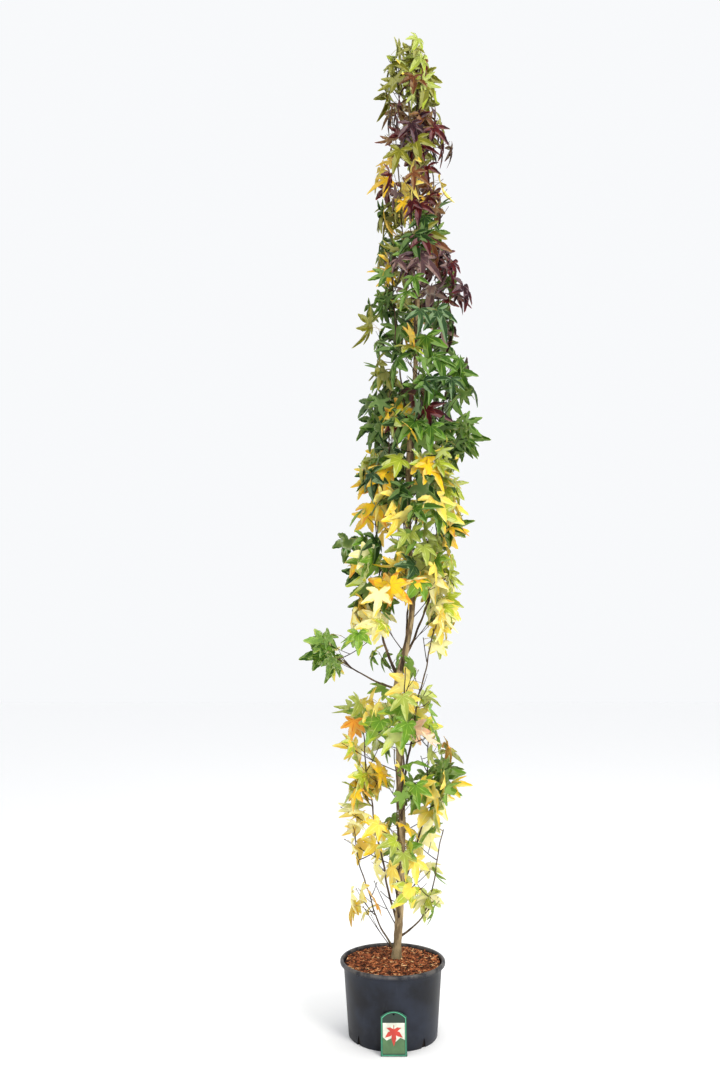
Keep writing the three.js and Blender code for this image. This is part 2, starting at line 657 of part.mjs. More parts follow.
function foliageSolid(mass, seed, surroundings) {
  const random = seededRandom(seed);
  const stem = stemCurve(mass);
  const ownStem = stemSolid(mass, 0);
  const twigs = [];
  for (const { curve, degrees } of twigCurves(mass, stem, random)) {
    const radiusAt = (share) => THREE.MathUtils.lerp(TWIG_RADIUS, TWIG_TIP_RADIUS, share);
    const solid = toSolid(limbGeometry(curve, radiusAt, { sides: TWIG_SIDES, rows: TWIG_ROWS }));
    if (!clashes(solid, surroundings)) twigs.push({ curve, degrees, solid });
  }
  const parts = [ownStem, ...twigs.map((twig) => twig.solid)];
  const grown = [];
  const addLeaf = (place, degrees, own, wants) => {
    const others = parts.filter((part) => part !== own).map(obstacle);
    const leaf = growLeaf(mass, random, place, degrees, [...surroundings, ...others, ...grown], wants);
    if (!leaf) return;
    grown.push({ solid: leaf.solid, box: box(leaf.guarded) });
  };
  addLeaf(stem.getPointAt(TIP_SHARE), sectorMiddle(mass), ownStem, mass.half ? LEADER_LEAF : TOP_LEAF);
  twigs.forEach(({ curve, degrees, solid }, index) => {
    const middle = (degrees + sectorMiddle(mass)) / 2;
    if (index % 2) addLeaf(curve.getPointAt(TIP_SHARE), degrees, solid, TIP_LEAF);
    else addLeaf(curve.getPointAt(TIP_SHARE), middle, solid, OUTER_LEAF);
    addLeaf(curve.getPointAt(HALF_WAY), degrees + SIDE_LEAF_DEGREES, solid, SIDE_LEAF);
    addLeaf(curve.getPointAt(NEAR_STEM), degrees - SIDE_LEAF_DEGREES, solid, INNER_LEAF);
  });
  const spots = SPOTS_PER_LEAF * Math.max(0, mass.leaves - grown.length);
  for (let index = 0; index < spots && grown.length < mass.leaves; index += 1) {
    const turn = STEM_LEAVES_TURN_DEGREES * (((index * GOLDEN_SHARE) % 1) - 0.5);
    const share = FIRST_TWIG_SHARE + TWIGS_SPAN_SHARE * ((index * GOLDEN_SHARE + 0.5) % 1);
    addLeaf(stem.getPointAt(share), sectorMiddle(mass) + turn, ownStem, INNER_LEAF);
  }
  const all = [...parts, ...grown.map((leaf) => leaf.solid)];
  return largestPiece(wasm.Manifold.union(all).asOriginal().simplify(SMOOTH_WITHIN));
}

function closestCorners(solid) {
  const places = toGeometry(solid).attributes.position;
  const corners = Array.from({ length: places.count }, (_, index) =>
    new THREE.Vector3().fromBufferAttribute(places, index),
  );
  corners.sort((one, other) => one.z - other.z);
  let closest = Infinity;
  corners.forEach((corner, index) => {
    for (let next = index + 1; next < corners.length; next += 1) {
      if (corners[next].z - corner.z >= closest) break;
      closest = Math.min(closest, corner.distanceTo(corners[next]));
    }
  });
  return closest;
}

// A mass in which two corners all but meet is grown again from another seed.
function soundFoliage(mass, seed, seedsApart, surroundings) {
  let solid = foliageSolid(mass, seed, surroundings);
  for (let again = 1; closestCorners(solid) < LEAST_CORNER_GAP; again += 1) {
    solid = foliageSolid(mass, seed + again * seedsApart, surroundings);
  }
  return solid;
}

// ---------------------------------------------------------------- assembly

const tree = new THREE.Group();

function addPart(name, geometry, color, roughness) {
  const mesh = new THREE.Mesh(geometry, material(color, roughness));
  mesh.name = name;
  tree.add(mesh);
}

const trunkClear = trunkSolid(CLEARANCE);

addPart('pot', toGeometry(potSolid()), COLOURS.pot, 0.35);
addPart('potting_mix', mixGeometry(), COLOURS.pottingMix, 0.95);
addPart('bark_mulch', mulchGeometry(), COLOURS.mulch, 0.9);
addPart('label', labelGeometry(), COLOURS.label, 0.4);
addPart('trunk', toGeometry(trunkSolid(0)), COLOURS.bark, 0.85);

const limbs = [obstacle(trunkSolid(LIMB_CLEARANCE))];
for (const mass of boughMasses) {
  const bough = largestPiece(boughSolid(mass, 0).subtract(trunkClear));
  addPart(`bough_${mass.name}`, toGeometry(bough), COLOURS.bark, 0.85);
  limbs.push(obstacle(boughSolid(mass, LIMB_CLEARANCE)));
}

const masses = [...boughMasses, ...leaderMasses];
const stems = masses.map((mass) => obstacle(stemSolid(mass, LIMB_CLEARANCE)));
const foliage = [];
masses.forEach((mass, index) => {
  const otherStems = stems.filter((stem) => stem !== stems[index]);
  const surroundings = [...limbs, ...otherStems, ...foliage];
  const solid = soundFoliage(mass, FIRST_SEED + index, masses.length, surroundings);
  foliage.push(obstacle(solid));
  addPart(`foliage_${mass.name}`, toGeometry(solid), COLOURS[mass.tint], 0.6);
});

export default tree;
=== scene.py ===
import math

import bpy
import numpy as np
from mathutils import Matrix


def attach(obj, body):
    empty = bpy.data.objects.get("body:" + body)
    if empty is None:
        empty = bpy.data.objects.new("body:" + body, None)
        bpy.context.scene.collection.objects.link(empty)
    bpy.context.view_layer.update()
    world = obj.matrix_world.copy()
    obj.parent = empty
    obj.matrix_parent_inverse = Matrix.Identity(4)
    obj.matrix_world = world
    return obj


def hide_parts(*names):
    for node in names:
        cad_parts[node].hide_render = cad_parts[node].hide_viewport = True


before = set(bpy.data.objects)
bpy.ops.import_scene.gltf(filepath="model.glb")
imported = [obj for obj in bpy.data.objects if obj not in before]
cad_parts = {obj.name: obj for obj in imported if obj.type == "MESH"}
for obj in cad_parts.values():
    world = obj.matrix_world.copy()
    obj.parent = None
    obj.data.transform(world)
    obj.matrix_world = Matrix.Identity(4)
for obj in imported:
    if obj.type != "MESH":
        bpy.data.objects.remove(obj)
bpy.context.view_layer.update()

# A columnar sweetgum in a nursery pot. Growth is worked out in millimetres, on the limbs'
# own lines, and becomes metres where a mesh is made. +X is the tree's right, +Y its back.

MM = 0.001
BODY = "root"

# ---------------------------------------------------------------- sizes

# A pair that drawn() takes is the least value and by how much it varies.

POT_HEIGHT = 294
POT_FOOT_RADIUS = 182.5
POT_TOP_RADIUS = 204
POT_WALL = 3.5
POT_FLOOR = 4
POT_SIDES = 128
FOOT_BEVEL = 2
FOOT_BEVEL_HEIGHT = 2.5
OUTER_WALL_RINGS = (30, 140, 255, 272)  # their heights
INNER_WALL_RINGS = (266, 140, POT_FLOOR)
RIM_HEIGHT = 18
# The rolled rim, from outside the wall over its top to inside the wall: radius and height.
RIM = [
    (206, 275.8),
    (213, 276.6),
    (217.4, 279),
    (218.5, 283),
    (218.2, 289),
    (215.5, 292.8),
    (212, POT_HEIGHT),
    (209, POT_HEIGHT),
    (206, 292.6),
    (204, 289),
    (203, 283),
]
NOTCHES = 8
NOTCH_WIDTH = 24
NOTCH_HEIGHT = 36
NOTCH_DEPTH = 11
NOTCH_OVERCUT = 4
NOTCH_TOP_SHARE = 0.12  # of its breadth, that a notch still has at its top
FIRST_NOTCH_DEGREES = -50

MULCH_EDGE = 284
MULCH_EDGE_RADIUS = 199
MULCH_TOP = 296
MULCH_FLAT_RADIUS = 62
BED_SINKS = 5  # under the chips
BED_RINGS = 22
BED_OUTER_RADIUS = 198
BED_INNER_RADIUS = 5
BED_UNDERSIDE = (196, 258)  # its radius and height
BED_SIDES = 72
CHIPS = 3600
CHIPS_SEED = 4127
CHIPS_REACH = 193
CHIP_LENGTH = (7, 14)
CHIP_BREADTH = (2.6, 4.2)
CHIP_THICKNESS = (1, 2)
CHIP_LIFT = (-4.5, 4.8)
CHIP_RAGGED = (0.75, 0.5)
CHIP_ROLLS_DEGREES = 26
CHIP_PITCHES_DEGREES = 34
CHIP_TOP_SHARE = 0.82  # of a chip's underside, that its top is large
USUAL_CHIPS_SHARE = 0.82
LARGE_CHIP = 1.7  # times the size of a usual one
CHIP_CORNERS = [(-1, -0.7), (-0.2, -1), (0.9, -0.6), (1, 0.5), (0.1, 1), (-0.8, 0.8)]

LABEL_WIDTH = 103
LABEL_HEIGHT = 160
LABEL_ARCH = 20
LABEL_ARCH_FULLNESS = 0.55
LABEL_ARCH_STEPS = 10  # on each side
LABEL_THICKNESS = 1.6
PRINT_THICKNESS = 0.15
LINE_MARGIN = 4
HEADER_MARGIN = 6
HANG_HOLE_HEIGHT = 148
HANG_HOLE_RADIUS = 4
HANG_HOLE_SIDES = 32
PUNCH_LENGTH = 20
PANEL_HALF = 43
PANEL_FOOT = 10
PANEL_TOP = 118
HEDGE_TOP = [(43, 58), (26, 66), (8, 52), (-10, 64), (-28, 56), (-43, 68)]
MOTIF_WIDTH = 66
MOTIF_JOINT = 92  # the height at which the leaf hangs from its stalk
MOTIF_BULGE_SHARE = 0.55
MOTIF_STALK = [(-1.4, 90), (1.4, 90), (1.4, 110), (-1.4, 110)]
LABEL_TO_RIGHT = -4
LABEL_FOOT_OUT = 219
LABEL_TOP_OUT = 195.7
LABEL_LIFT = 0.3

TREE_TOP = 4500
TRUNK_FOOT = 296.3
TRUNK_FOOT_RADIUS = 16
TRUNK_TIP_RADIUS = 2.5
TRUNK_TAPER = 0.62
FLARE = 9
FLARE_FADES_OVER = 20
TRUNK_SINKS = 5  # into the mulch
TRUNK_ROWS = 620
TRUNK_SIDES = 24
TRUNK_SEED = 911
COLLAR = {"swell": 0.13, "half": 16}  # where a bough leaves the trunk
# The swellings that old buds left: the first one's place along the limb, the gaps between them,
# the share by which they swell and half their length.
TRUNK_KNOTS = {"first": 330, "gap": (70, 90), "swell": 0.05, "half": 5}
BOUGH_KNOTS = {"first": 60, "gap": (34, 40), "swell": 0.16, "half": 7}
BOUGH_LEAST_ROWS = 24
BOUGH_ROW_LENGTH = 14
BOUGH_SIDES = 12
BOUGHS_SEED = 5000
BOUGH_FLARE_SHARE = 0.6
BOUGH_FLARE_FADES_OVER = 26
WANDER_LENGTHS = (260, 90)
WANDER_SHARE = 0.012  # of its length, that a wave goes to each side
WANDER_STARTS = 6  # times the bough's share, up to one

# The trunk's centre line: height, to the right, to the back.
TRUNK_LINE = np.array([
    [TRUNK_FOOT, 16, 6],
    [420, 26, 10],
    [850, 43, 16],
    [1000, 34, 18],
    [1250, 34, 20],
    [1420, 26, 22],
    [1580, 66, 24],
    [1760, 94, 26],
    [2165, 79, 28],
    [2470, 86, 30],
    [2750, 112, 32],
    [3610, 137, 34],
    [4010, 110, 28],
    [4420, 72, 20],
])

# How far the leaves reach from the pot's axis: height, to the left, to the right.
CROWN_REACH = np.array([
    [430, 205, 235],
    [900, 255, 250],
    [1000, 215, 322],
    [1120, 225, 322],
    [1190, 282, 240],
    [1360, 225, 232],
    [1400, 430, 232],
    [1540, 425, 250],
    [1650, 430, 310],
    [1700, 190, 319],
    [1900, 215, 320],
    [2010, 286, 285],
    [2100, 262, 378],
    [2220, 175, 385],
    [2420, 168, 370],
    [2510, 177, 478],
    [2650, 160, 435],
    [2800, 128, 417],
    [2960, 176, 350],
    [3070, 186, 345],
    [3180, 118, 415],
    [3350, 120, 335],
    [3600, 80, 318],
    [3720, 122, 330],
    [3950, 60, 335],
    [4100, 60, 260],
    [TREE_TOP, 20, 215],
])
LEAST_DEPTH = 150  # of the crown, from the trunk's line to its front or back
MOST_DEPTH = 300
SECTOR_DEGREES = 90
SECTOR_WAVE_DEGREES = 9
SECTOR_WAVE_LENGTH = 900
SPACES_LAP = 45

# Each mass of foliage: where it lies in degrees from the right towards the back, its floor and
# ceiling, the height of its bough's root, how far its bough's end and its stem's end stand out,
# the bough's radius at its root, how many leaves its solid has, how often it was grown again and
# the slot of its leaves.
MASS_COLUMNS = (
    "name", "facing", "floor", "ceiling", "root", "entry", "tip", "radius", "leaves", "again", "slot"
)
MASS_ROWS = [
    ("right_skirt", -8, 440, 860, 372, 106, 175, 4.2, 6, 1, "foliage_lime"),
    ("right_low", 8, 860, 1290, 540, 100, 135, 5, 12, 0, "foliage_lime"),
    ("right_waist", -12, 1290, 1800, 950, 80, 125, 5.4, 11, 0, "foliage_yellow"),
    ("right_mid", 10, 1800, 2340, 1530, 85, 150, 5.6, 16, 1, "foliage_gold"),
    ("right_broad", -12, 2340, 2900, 2010, 90, 165, 5.4, 20, 2, "foliage_green"),
    ("right_high", 10, 2900, 3490, 2560, 80, 125, 5, 19, 0, "foliage_green"),
    ("right_crest", -10, 3490, 4110, 3150, 66, 100, 4.4, 19, 1, "foliage_maroon"),
    ("left_skirt", 186, 430, 870, 312, 94, 210, 4.2, 7, 0, "foliage_yellow"),
    ("left_low", 172, 870, 1375, 410, 125, 165, 4.8, 14, 0, "foliage_lime"),
    ("left_spray", 184, 1440, 1620, 1400, 170, 345, 4.6, 9, 0, "foliage_yellow"),
    ("left_mid", 172, 1640, 2240, 1440, 124, 150, 7, 15, 0, "foliage_gold"),
    ("left_broad", 188, 2240, 2850, 1960, 80, 115, 5.4, 19, 1, "foliage_green"),
    ("left_high", 172, 2850, 3450, 2560, 78, 120, 5, 18, 0, "foliage_green"),
    ("left_crest", 188, 3450, 4120, 3160, 68, 85, 4.4, 18, 0, "foliage_maroon"),
    ("front_skirt", 262, 500, 1120, 450, 80, 110, 4.6, 9, 0, "foliage_yellow"),
    ("front_low", 278, 1120, 1540, 820, 85, 120, 5, 10, 0, "foliage_lime"),
    ("front_mid", 262, 1740, 2400, 1450, 80, 135, 5.4, 18, 0, "foliage_gold"),
    ("front_high", 278, 2400, 3200, 2120, 84, 130, 5.2, 24, 0, "foliage_green"),
    ("front_crest", 262, 3200, 4090, 2880, 72, 95, 4.6, 25, 0, "foliage_maroon"),
    ("back_skirt", 98, 520, 1180, 480, 80, 115, 4.6, 9, 1, "foliage_yellow"),
    ("back_low", 82, 1180, 1620, 900, 85, 120, 5, 10, 0, "foliage_lime"),
    ("back_mid", 98, 1780, 2520, 1560, 80, 135, 5.4, 19, 0, "foliage_gold"),
    ("back_high", 82, 2520, 3300, 2240, 84, 130, 5.2, 23, 0, "foliage_green"),
    ("back_crest", 98, 3300, 4090, 2990, 72, 95, 4.6, 22, 0, "foliage_maroon"),
    ("leader_right", -15, 4100, TREE_TOP, 4060, 40, 70, 3.4, 11, 0, "foliage_lime"),
    ("leader_left", 165, 4100, TREE_TOP, 4075, 36, 46, 3.4, 10, 0, "foliage_lime"),
]
LEADER_HALF_DEGREES = 88
BELOW_TOP = 2  # of the tree, that every leaf stays

LIMB_TIP_SHARE = 0.62
STEM_TIP_RADIUS = 2.0
BOUGH_END = 0.5
HEEL_RISE_SHARE = 0.36
HEEL_OUT_SHARE = 0.43
KNEE_RISE_SHARE = 0.5
KNEE_OUT_SHARE = 0.6
ENTRY_RISE = 30
HEADROOM = 45
LEADER_HEADROOM = 138

FIRST_SEED = 7201
LEAVES_PER_TWIG = 3
LEAST_TWIGS = 2
ROUNDS_HALVES_UP = 1e-9  # as the source does
FIRST_TWIG_SHARE = 0.08
TWIGS_SPAN_SHARE = 0.86
FIRST_TWIG_STEP = 0.3
TWIG_TURNS_DEGREES = 38
TWIG_CLIMB = (50, 70)
TWIG_SAG = 14
SOURCE_LEAF_WIDTH = 192
LEAF_ROOM_SHARE = (0.75, 0.5)
LEAST_TWIG_SHARE = 0.36
GOLDEN_SHARE = 0.618034

# What the finer growth adds.
LEAVES_PER_SOURCE_LEAF = 3.7
LEAF_WIDTH_VARIES = 0.24
STALK_SHARE = 0.5  # of a leaf's width, that its stalk is long
STALK_VARIES = (0.75, 0.5)
LEAF_THICKNESS = 0.7
LEAF_TRIES = 26
DRAWS_PER_TRY = 5
TWIG = {"radius": 2.2, "tip_radius": 1.3, "sides": 6}
SHOOT = {"radius": 1.5, "tip_radius": 0.9, "sides": 5}
SHOOT_POINTS = 5
SHOOT_LENGTH = (62, 60)
SHOOT_LENGTH_TRIES = (1, 0.75, 0.5)
SHOOT_TURN_DEGREES = (26, 34)
SHOOT_RISE_DEGREES = (24, 34)
SHOOT_BEND = 8
SHOOT_BEND_DEGREES = -40
SHOOTS_REACH = 0.8  # of the crown's reach
STEM_SHOOT_SHARES = (0.16, 0.34, 0.5, 0.66, 0.82, 0.93)
TWIG_SHOOT_SHARES = (0.42, 0.68, 0.86)
STEM_LEAVES = 12
STEM_LEAVES_SPREAD_DEGREES = 150

# The blades: height, width, and how broad the lobes are as a share of the pattern's.
BLADES = np.array([
    [430, 112, 1.12],
    [1600, 116, 1.12],
    [2100, 130, 1.04],
    [3000, 140, 0.86],
    [3900, 136, 0.82],
    [4200, 134, 0.9],
    [TREE_TOP, 116, 0.92],
])

# How leafy the crown is: height, share of the leaves that could grow there.
LEAFINESS = np.array([
    [430, 0.7],
    [590, 0.1],
    [710, 0.24],
    [830, 1],
    [960, 0.76],
    [1080, 0.7],
    [1210, 0.3],
    [1330, 0.42],
    [1460, 0.2],
    [1590, 0.4],
    [1680, 0.9],
    [1780, 0.9],
    [1850, 0.66],
    [2120, 0.56],
    [2260, 0.66],
    [2390, 0.64],
    [2530, 0.42],
    [2670, 0.5],
    [2810, 0.42],
    [2950, 0.2],
    [3100, 0.27],
    [3240, 0.42],
    [3400, 0.4],
    [3530, 0.44],
    [3680, 0.26],
    [3830, 0.17],
    [3980, 0.32],
    [4130, 0.58],
    [4300, 0.66],
])

# Thin twigs that leave the trunk itself, or a bough close to it: the mass that they carry
# leaves for, the height that they leave from, degrees, and how far out and up they go.
TRUNK_TWIGS = [
    ("left_skirt", 412, 190, 110, 190),
    ("left_skirt", 314, 178, 150, 180),
    ("left_skirt", 655, 188, 240, 120),
    ("right_skirt", 545, -6, 120, 95),
    ("left_low", 770, 178, 255, 130),
    ("left_low", 1050, 184, 245, 120),
    ("right_low", 800, -6, 175, 110),
    ("right_low", 985, 4, 235, 84),
    ("front_low", 1170, 284, 110, 96),
    ("right_waist", 1575, -16, 104, 150),
    ("left_mid", 1560, 200, 140, 150),
    ("right_mid", 1702, 2, 116, 150),
    ("right_mid", 1960, -16, 150, 120),
    ("left_broad", 2240, 190, 120, 130),
    ("right_broad", 2380, 12, 190, 120),
    ("right_high", 2960, 6, 160, 110),
]
TRUNK_TWIG_STARTS = 4  # out from the trunk's line, within its wood
LOW_TWIG_SHARES = (0.01, 0.07)  # of a stem, where twigs leave it below the source's first one
LOW_TWIG_TURN = 30
LOW_TWIG_CLIMB = (20, 40)
LOW_TWIG_REACH = 0.7  # of the crown's reach


# ---------------------------------------------------------------- finishes

class Shade:
    """A value in a finish's shader. What is worked out with it adds the maths to the shader."""

    def __init__(self, finish, socket):
        self.finish = finish
        self.socket = socket

    def maths(self, operation, first, second):
        return self.finish.node("ShaderNodeMath", {"operation": operation}, {0: first, 1: second})

    def __add__(self, other):
        return self.maths("ADD", self, other)

    def __radd__(self, other):
        return self.maths("ADD", other, self)

    def __sub__(self, other):
        return self.maths("SUBTRACT", self, other)

    def __rsub__(self, other):
        return self.maths("SUBTRACT", other, self)

    def __mul__(self, other):
        return self.maths("MULTIPLY", self, other)

    def __rmul__(self, other):
        return self.maths("MULTIPLY", other, self)


SOCKETS = {
    "sheen": "Specular IOR Level",
    "coat": "Coat Weight",
    "coat_roughness": "Coat Roughness",
    "glow": "Subsurface Weight",
    "glow_radius": "Subsurface Radius",
    "glow_scale": "Subsurface Scale",
}
NOISE_ROUGHNESS = 0.55


class Finish:
    """A material and the one way in which nodes are added to its shader."""

    def __init__(self, name, colour=None, roughness=None, **constants):
        self.material = bpy.data.materials.new(name)
        self.material.use_nodes = True
        self.nodes = self.material.node_tree.nodes
        self.links = self.material.node_tree.links
        self.shader = self.nodes["Principled BSDF"]
        if colour is not None:
            self.shader.inputs["Base Color"].default_value = linear(colour)
            self.material.diffuse_color = linear(colour)
        if roughness is not None:
            self.shader.inputs["Roughness"].default_value = roughness
        for socket, value in constants.items():
            self.shader.inputs[SOCKETS[socket]].default_value = value

    def node(self, kind, settings=None, values=None, output=0):
        added = self.nodes.new(kind)
        for name, value in (settings or {}).items():
            setattr(added, name, value)
        for name, value in (values or {}).items():
            self.feed(added.inputs[name], value)
        return Shade(self, added.outputs[output])

    def feed(self, socket, value):
        if isinstance(value, Shade):
            self.links.new(value.socket, socket)
        else:
            socket.default_value = value

    def surface(self, name, value):
        self.feed(self.shader.inputs[name], value)

    def place(self):
        return self.node("ShaderNodeTexCoord", output="Object")

    def noise(self, scale, detail, squash=1.0):
        """Noise whose grains are drawn out along the height where squash is below one."""
        place = self.node("ShaderNodeMapping", values={"Vector": self.place(), "Scale": (1, 1, squash)})
        values = {"Vector": place, "Scale": scale, "Detail": detail, "Roughness": NOISE_ROUGHNESS}
        return self.node("ShaderNodeTexNoise", values=values)

    def between(self, value, low, high):
        """Nought where a value is below low, rising smoothly to one where it is above high."""
        values = {"Value": value, "From Min": low, "From Max": high}
        return self.node("ShaderNodeMapRange", {"interpolation_type": "SMOOTHSTEP"}, values)

    def patches(self, scale, detail, low, high, squash=1.0):
        return self.between(self.noise(scale, detail, squash), low, high)

    def risen(self, low, high):
        """Nought below one height and one above another, both in metres."""
        height = self.node("ShaderNodeSeparateXYZ", values={"Vector": self.place()}, output="Z")
        return self.between(height, low, high)

    def blend(self, share, first, second):
        """One colour over to another, by a share. They are a mix's inputs 6 and 7, and output 2."""
        first, second = (c if isinstance(c, Shade) else linear(c) for c in (first, second))
        values = {"Factor": share, 6: first, 7: second}
        return self.node("ShaderNodeMix", {"data_type": "RGBA"}, values, output=2)

    def bump(self, height, distance, strength=1.0):
        values = {"Height": height, "Distance": distance, "Strength": strength}
        self.surface("Normal", self.node("ShaderNodeBump", values=values))


def linear(colour):
    """A colour as light, from its eight-bit red, green and blue on a screen's usual curve."""
    return (*(((c / 255 + 0.055) / 1.055) ** 2.4 if c > 10 else c / 255 / 12.92 for c in colour), 1)


# The pot's dark and light tone, between which a large mottling of its colour goes: painted reflection of
# the room on the pot.
PLASTIC_AND_REFLECTION_TONES = ((10, 12, 21), (36, 42, 56))
SCUFFED_TONE = (84, 90, 100)
# The rim's lighter top is part wear and part painted highlight.
DUSTY_TONE = (88, 86, 80)
WORN_AND_LIT_TONE = (106, 101, 96)
MOSSY_TONE = (116, 108, 74)
DAMP_TONE = (92, 84, 60)
PORE_TONE = (186, 168, 138)
TWIG_TONES = ((42, 30, 25), (72, 54, 43))
BUD_TONE = (88, 74, 38)
STALK_TONE = (166, 142, 70)
FLOOR_TONE = (254, 254, 254)

# What crumbles: its dark and light tone, its roughness, the scale of its grain, between which
# values of the grain it goes over from dark to light, and how deep its relief is in metres.
BED_CRUMBS = ((40, 22, 15), (112, 62, 38), 0.93, 150, (0.34, 0.66), 0.004)
# The potting mix is darker than its own brown, as painted shade inside the drainage notches.
MIX_CRUMBS_DARKENED_AS_SHADE = ((16, 11, 8), (46, 33, 24), 0.95, 160, (0.3, 0.7), 0.003)

# The heights in metres between which a finish goes over from one state to the other.
RIM_WEAR_AND_HIGHLIGHT = (0.276, 0.29)
DUSTY_FOOT = (0.1, 0.0)
DAMP_FOOT = (0.3, 0.43)
BARK_AGES = (0.7, 2.6)


def pot_finish():
    finish = Finish("black_nursery_plastic", sheen=0.4)
    # The cloud mottles the base colour as painted reflection, and varies the roughness too.
    cloud = finish.noise(scale=7, detail=6)
    scuffs = finish.patches(scale=46, detail=3, low=0.62, high=0.76, squash=0.16)
    dust = finish.patches(scale=13, detail=6, low=0.5, high=0.78) * finish.risen(*DUSTY_FOOT)
    # The top of the rim is made lighter: part wear, part painted highlight.
    rim_wear_and_highlight = finish.risen(*RIM_WEAR_AND_HIGHLIGHT) * finish.patches(scale=30, detail=4, low=0.3, high=0.6)
    plastic_and_reflection = finish.blend(finish.between(cloud, 0.35, 0.7), *PLASTIC_AND_REFLECTION_TONES)
    scuffed = finish.blend(scuffs * 0.16, plastic_and_reflection, SCUFFED_TONE)
    dusty = finish.blend(dust * 0.4, scuffed, DUSTY_TONE)
    finish.surface("Base Color", finish.blend(rim_wear_and_highlight * 0.7, dusty, WORN_AND_LIT_TONE))
    finish.surface("Roughness", 0.36 + scuffs * 0.2 + dust * 0.35 + cloud * 0.12)
    grain = finish.noise(scale=220, detail=3)
    finish.bump(grain * 0.6 + scuffs * 0.4, distance=0.0003, strength=0.5)
    return finish.material


def crumbly_finish(name, dark, light, roughness, grain_scale, between, relief):
    """Loose fine stuff: two tones that its grain goes over between."""
    finish = Finish(name, roughness=roughness)
    grain = finish.noise(grain_scale, detail=6)
    finish.surface("Base Color", finish.blend(finish.between(grain, *between), dark, light))
    finish.bump(grain, relief)
    return finish.material


# The dark and the light tone of young bark, and those of old bark.
TRUNK_TONES = ((84, 68, 46), (170, 148, 112)), ((116, 98, 72), (184, 164, 130))
BOUGH_TONES = ((54, 41, 32), (104, 83, 63)), ((58, 46, 37), (104, 86, 66))


def bark_finish(name, young, old, relief):
    """Bark that goes over from its old tones to its young ones as it rises."""
    finish = Finish(name, sheen=0.3)
    streaks = finish.noise(scale=60, detail=6, squash=0.3)
    blotches = finish.noise(scale=16, detail=4, squash=0.6)
    pores = finish.patches(scale=300, detail=2, low=0.64, high=0.7, squash=2.4)
    shift = finish.between(streaks, 0.36, 0.64)
    aged = finish.blend(finish.risen(*BARK_AGES), finish.blend(shift, *old), finish.blend(shift, *young))
    mossy = finish.blend(finish.between(blotches, 0.5, 0.72) * 0.4, aged, MOSSY_TONE)
    damp = (1 - finish.risen(*DAMP_FOOT)) * 0.55
    stained = finish.blend(damp, mossy, DAMP_TONE)
    finish.surface("Base Color", finish.blend(pores * 0.45, stained, PORE_TONE))
    finish.surface("Roughness", 0.74 + streaks * 0.2)
    finish.bump(streaks + blotches * 0.6 + pores * 0.4, relief)
    return finish.material


def grained_finish(name, dark, light, roughness, grain_scale):
    """Small wood: two tones of one colour that run into each other."""
    finish = Finish(name, sheen=0.25)
    grain = finish.noise(grain_scale, detail=3)
    finish.surface("Base Color", finish.blend(finish.between(grain, 0.34, 0.66), dark, light))
    finish.surface("Roughness", roughness + grain * 0.1)
    return finish.material


def card_finish(name, colour):
    finish = Finish(name, roughness=0.3, coat=0.3, coat_roughness=0.2)
    shift = finish.patches(scale=24, detail=3, low=0.3, high=0.75)
    darker = tuple(c * 0.86 for c in colour)
    finish.surface("Base Color", finish.blend(shift, darker, colour))
    finish.surface("Roughness", 0.28 + shift * 0.16)
    return finish.material


# The blades' tints: the face, its veins and its underside, and the tint that it turns to next.
TINTS = {
    "straw": ((250, 238, 154), (253, 247, 200), (244, 236, 174), "yellow"),
    "yellow": ((236, 204, 90), (250, 236, 142), (238, 220, 124), "gold"),
    "gold": ((240, 196, 44), (236, 166, 58), (228, 194, 100), "amber"),
    "amber": ((216, 150, 56), (190, 104, 46), (212, 166, 98), "gold"),
    "blush": ((234, 186, 154), (242, 208, 178), (236, 202, 176), "straw"),
    "lime": ((163, 177, 58), (208, 214, 106), (192, 202, 130), "yellow"),
    "olive": ((112, 112, 32), (160, 154, 70), (148, 148, 88), "lime"),
    "sage": ((150, 162, 72), (190, 200, 120), (176, 186, 110), "lime"),
    "fresh": ((98, 136, 42), (150, 178, 76), (132, 164, 84), "lime"),
    "green": ((60, 95, 26), (124, 150, 64), (114, 142, 78), "fresh"),
    "deep": ((30, 54, 16), (88, 114, 50), (98, 122, 72), "green"),
    # The next tint is a lighter, bluish green that paints the sheen on glossy leaves.
    "sea": ((44, 71, 39), (104, 128, 80), (118, 140, 104), "deep"),
    "maroon": ((66, 14, 20), (112, 42, 38), (118, 82, 84), "plum"),
    "plum": ((42, 19, 27), (88, 50, 50), (108, 90, 94), "maroon"),
    "bronze": ((102, 58, 34), (142, 98, 52), (138, 108, 82), "maroon"),
    "mauve": ((84, 60, 63), (118, 90, 86), (140, 116, 110), "plum"),
}

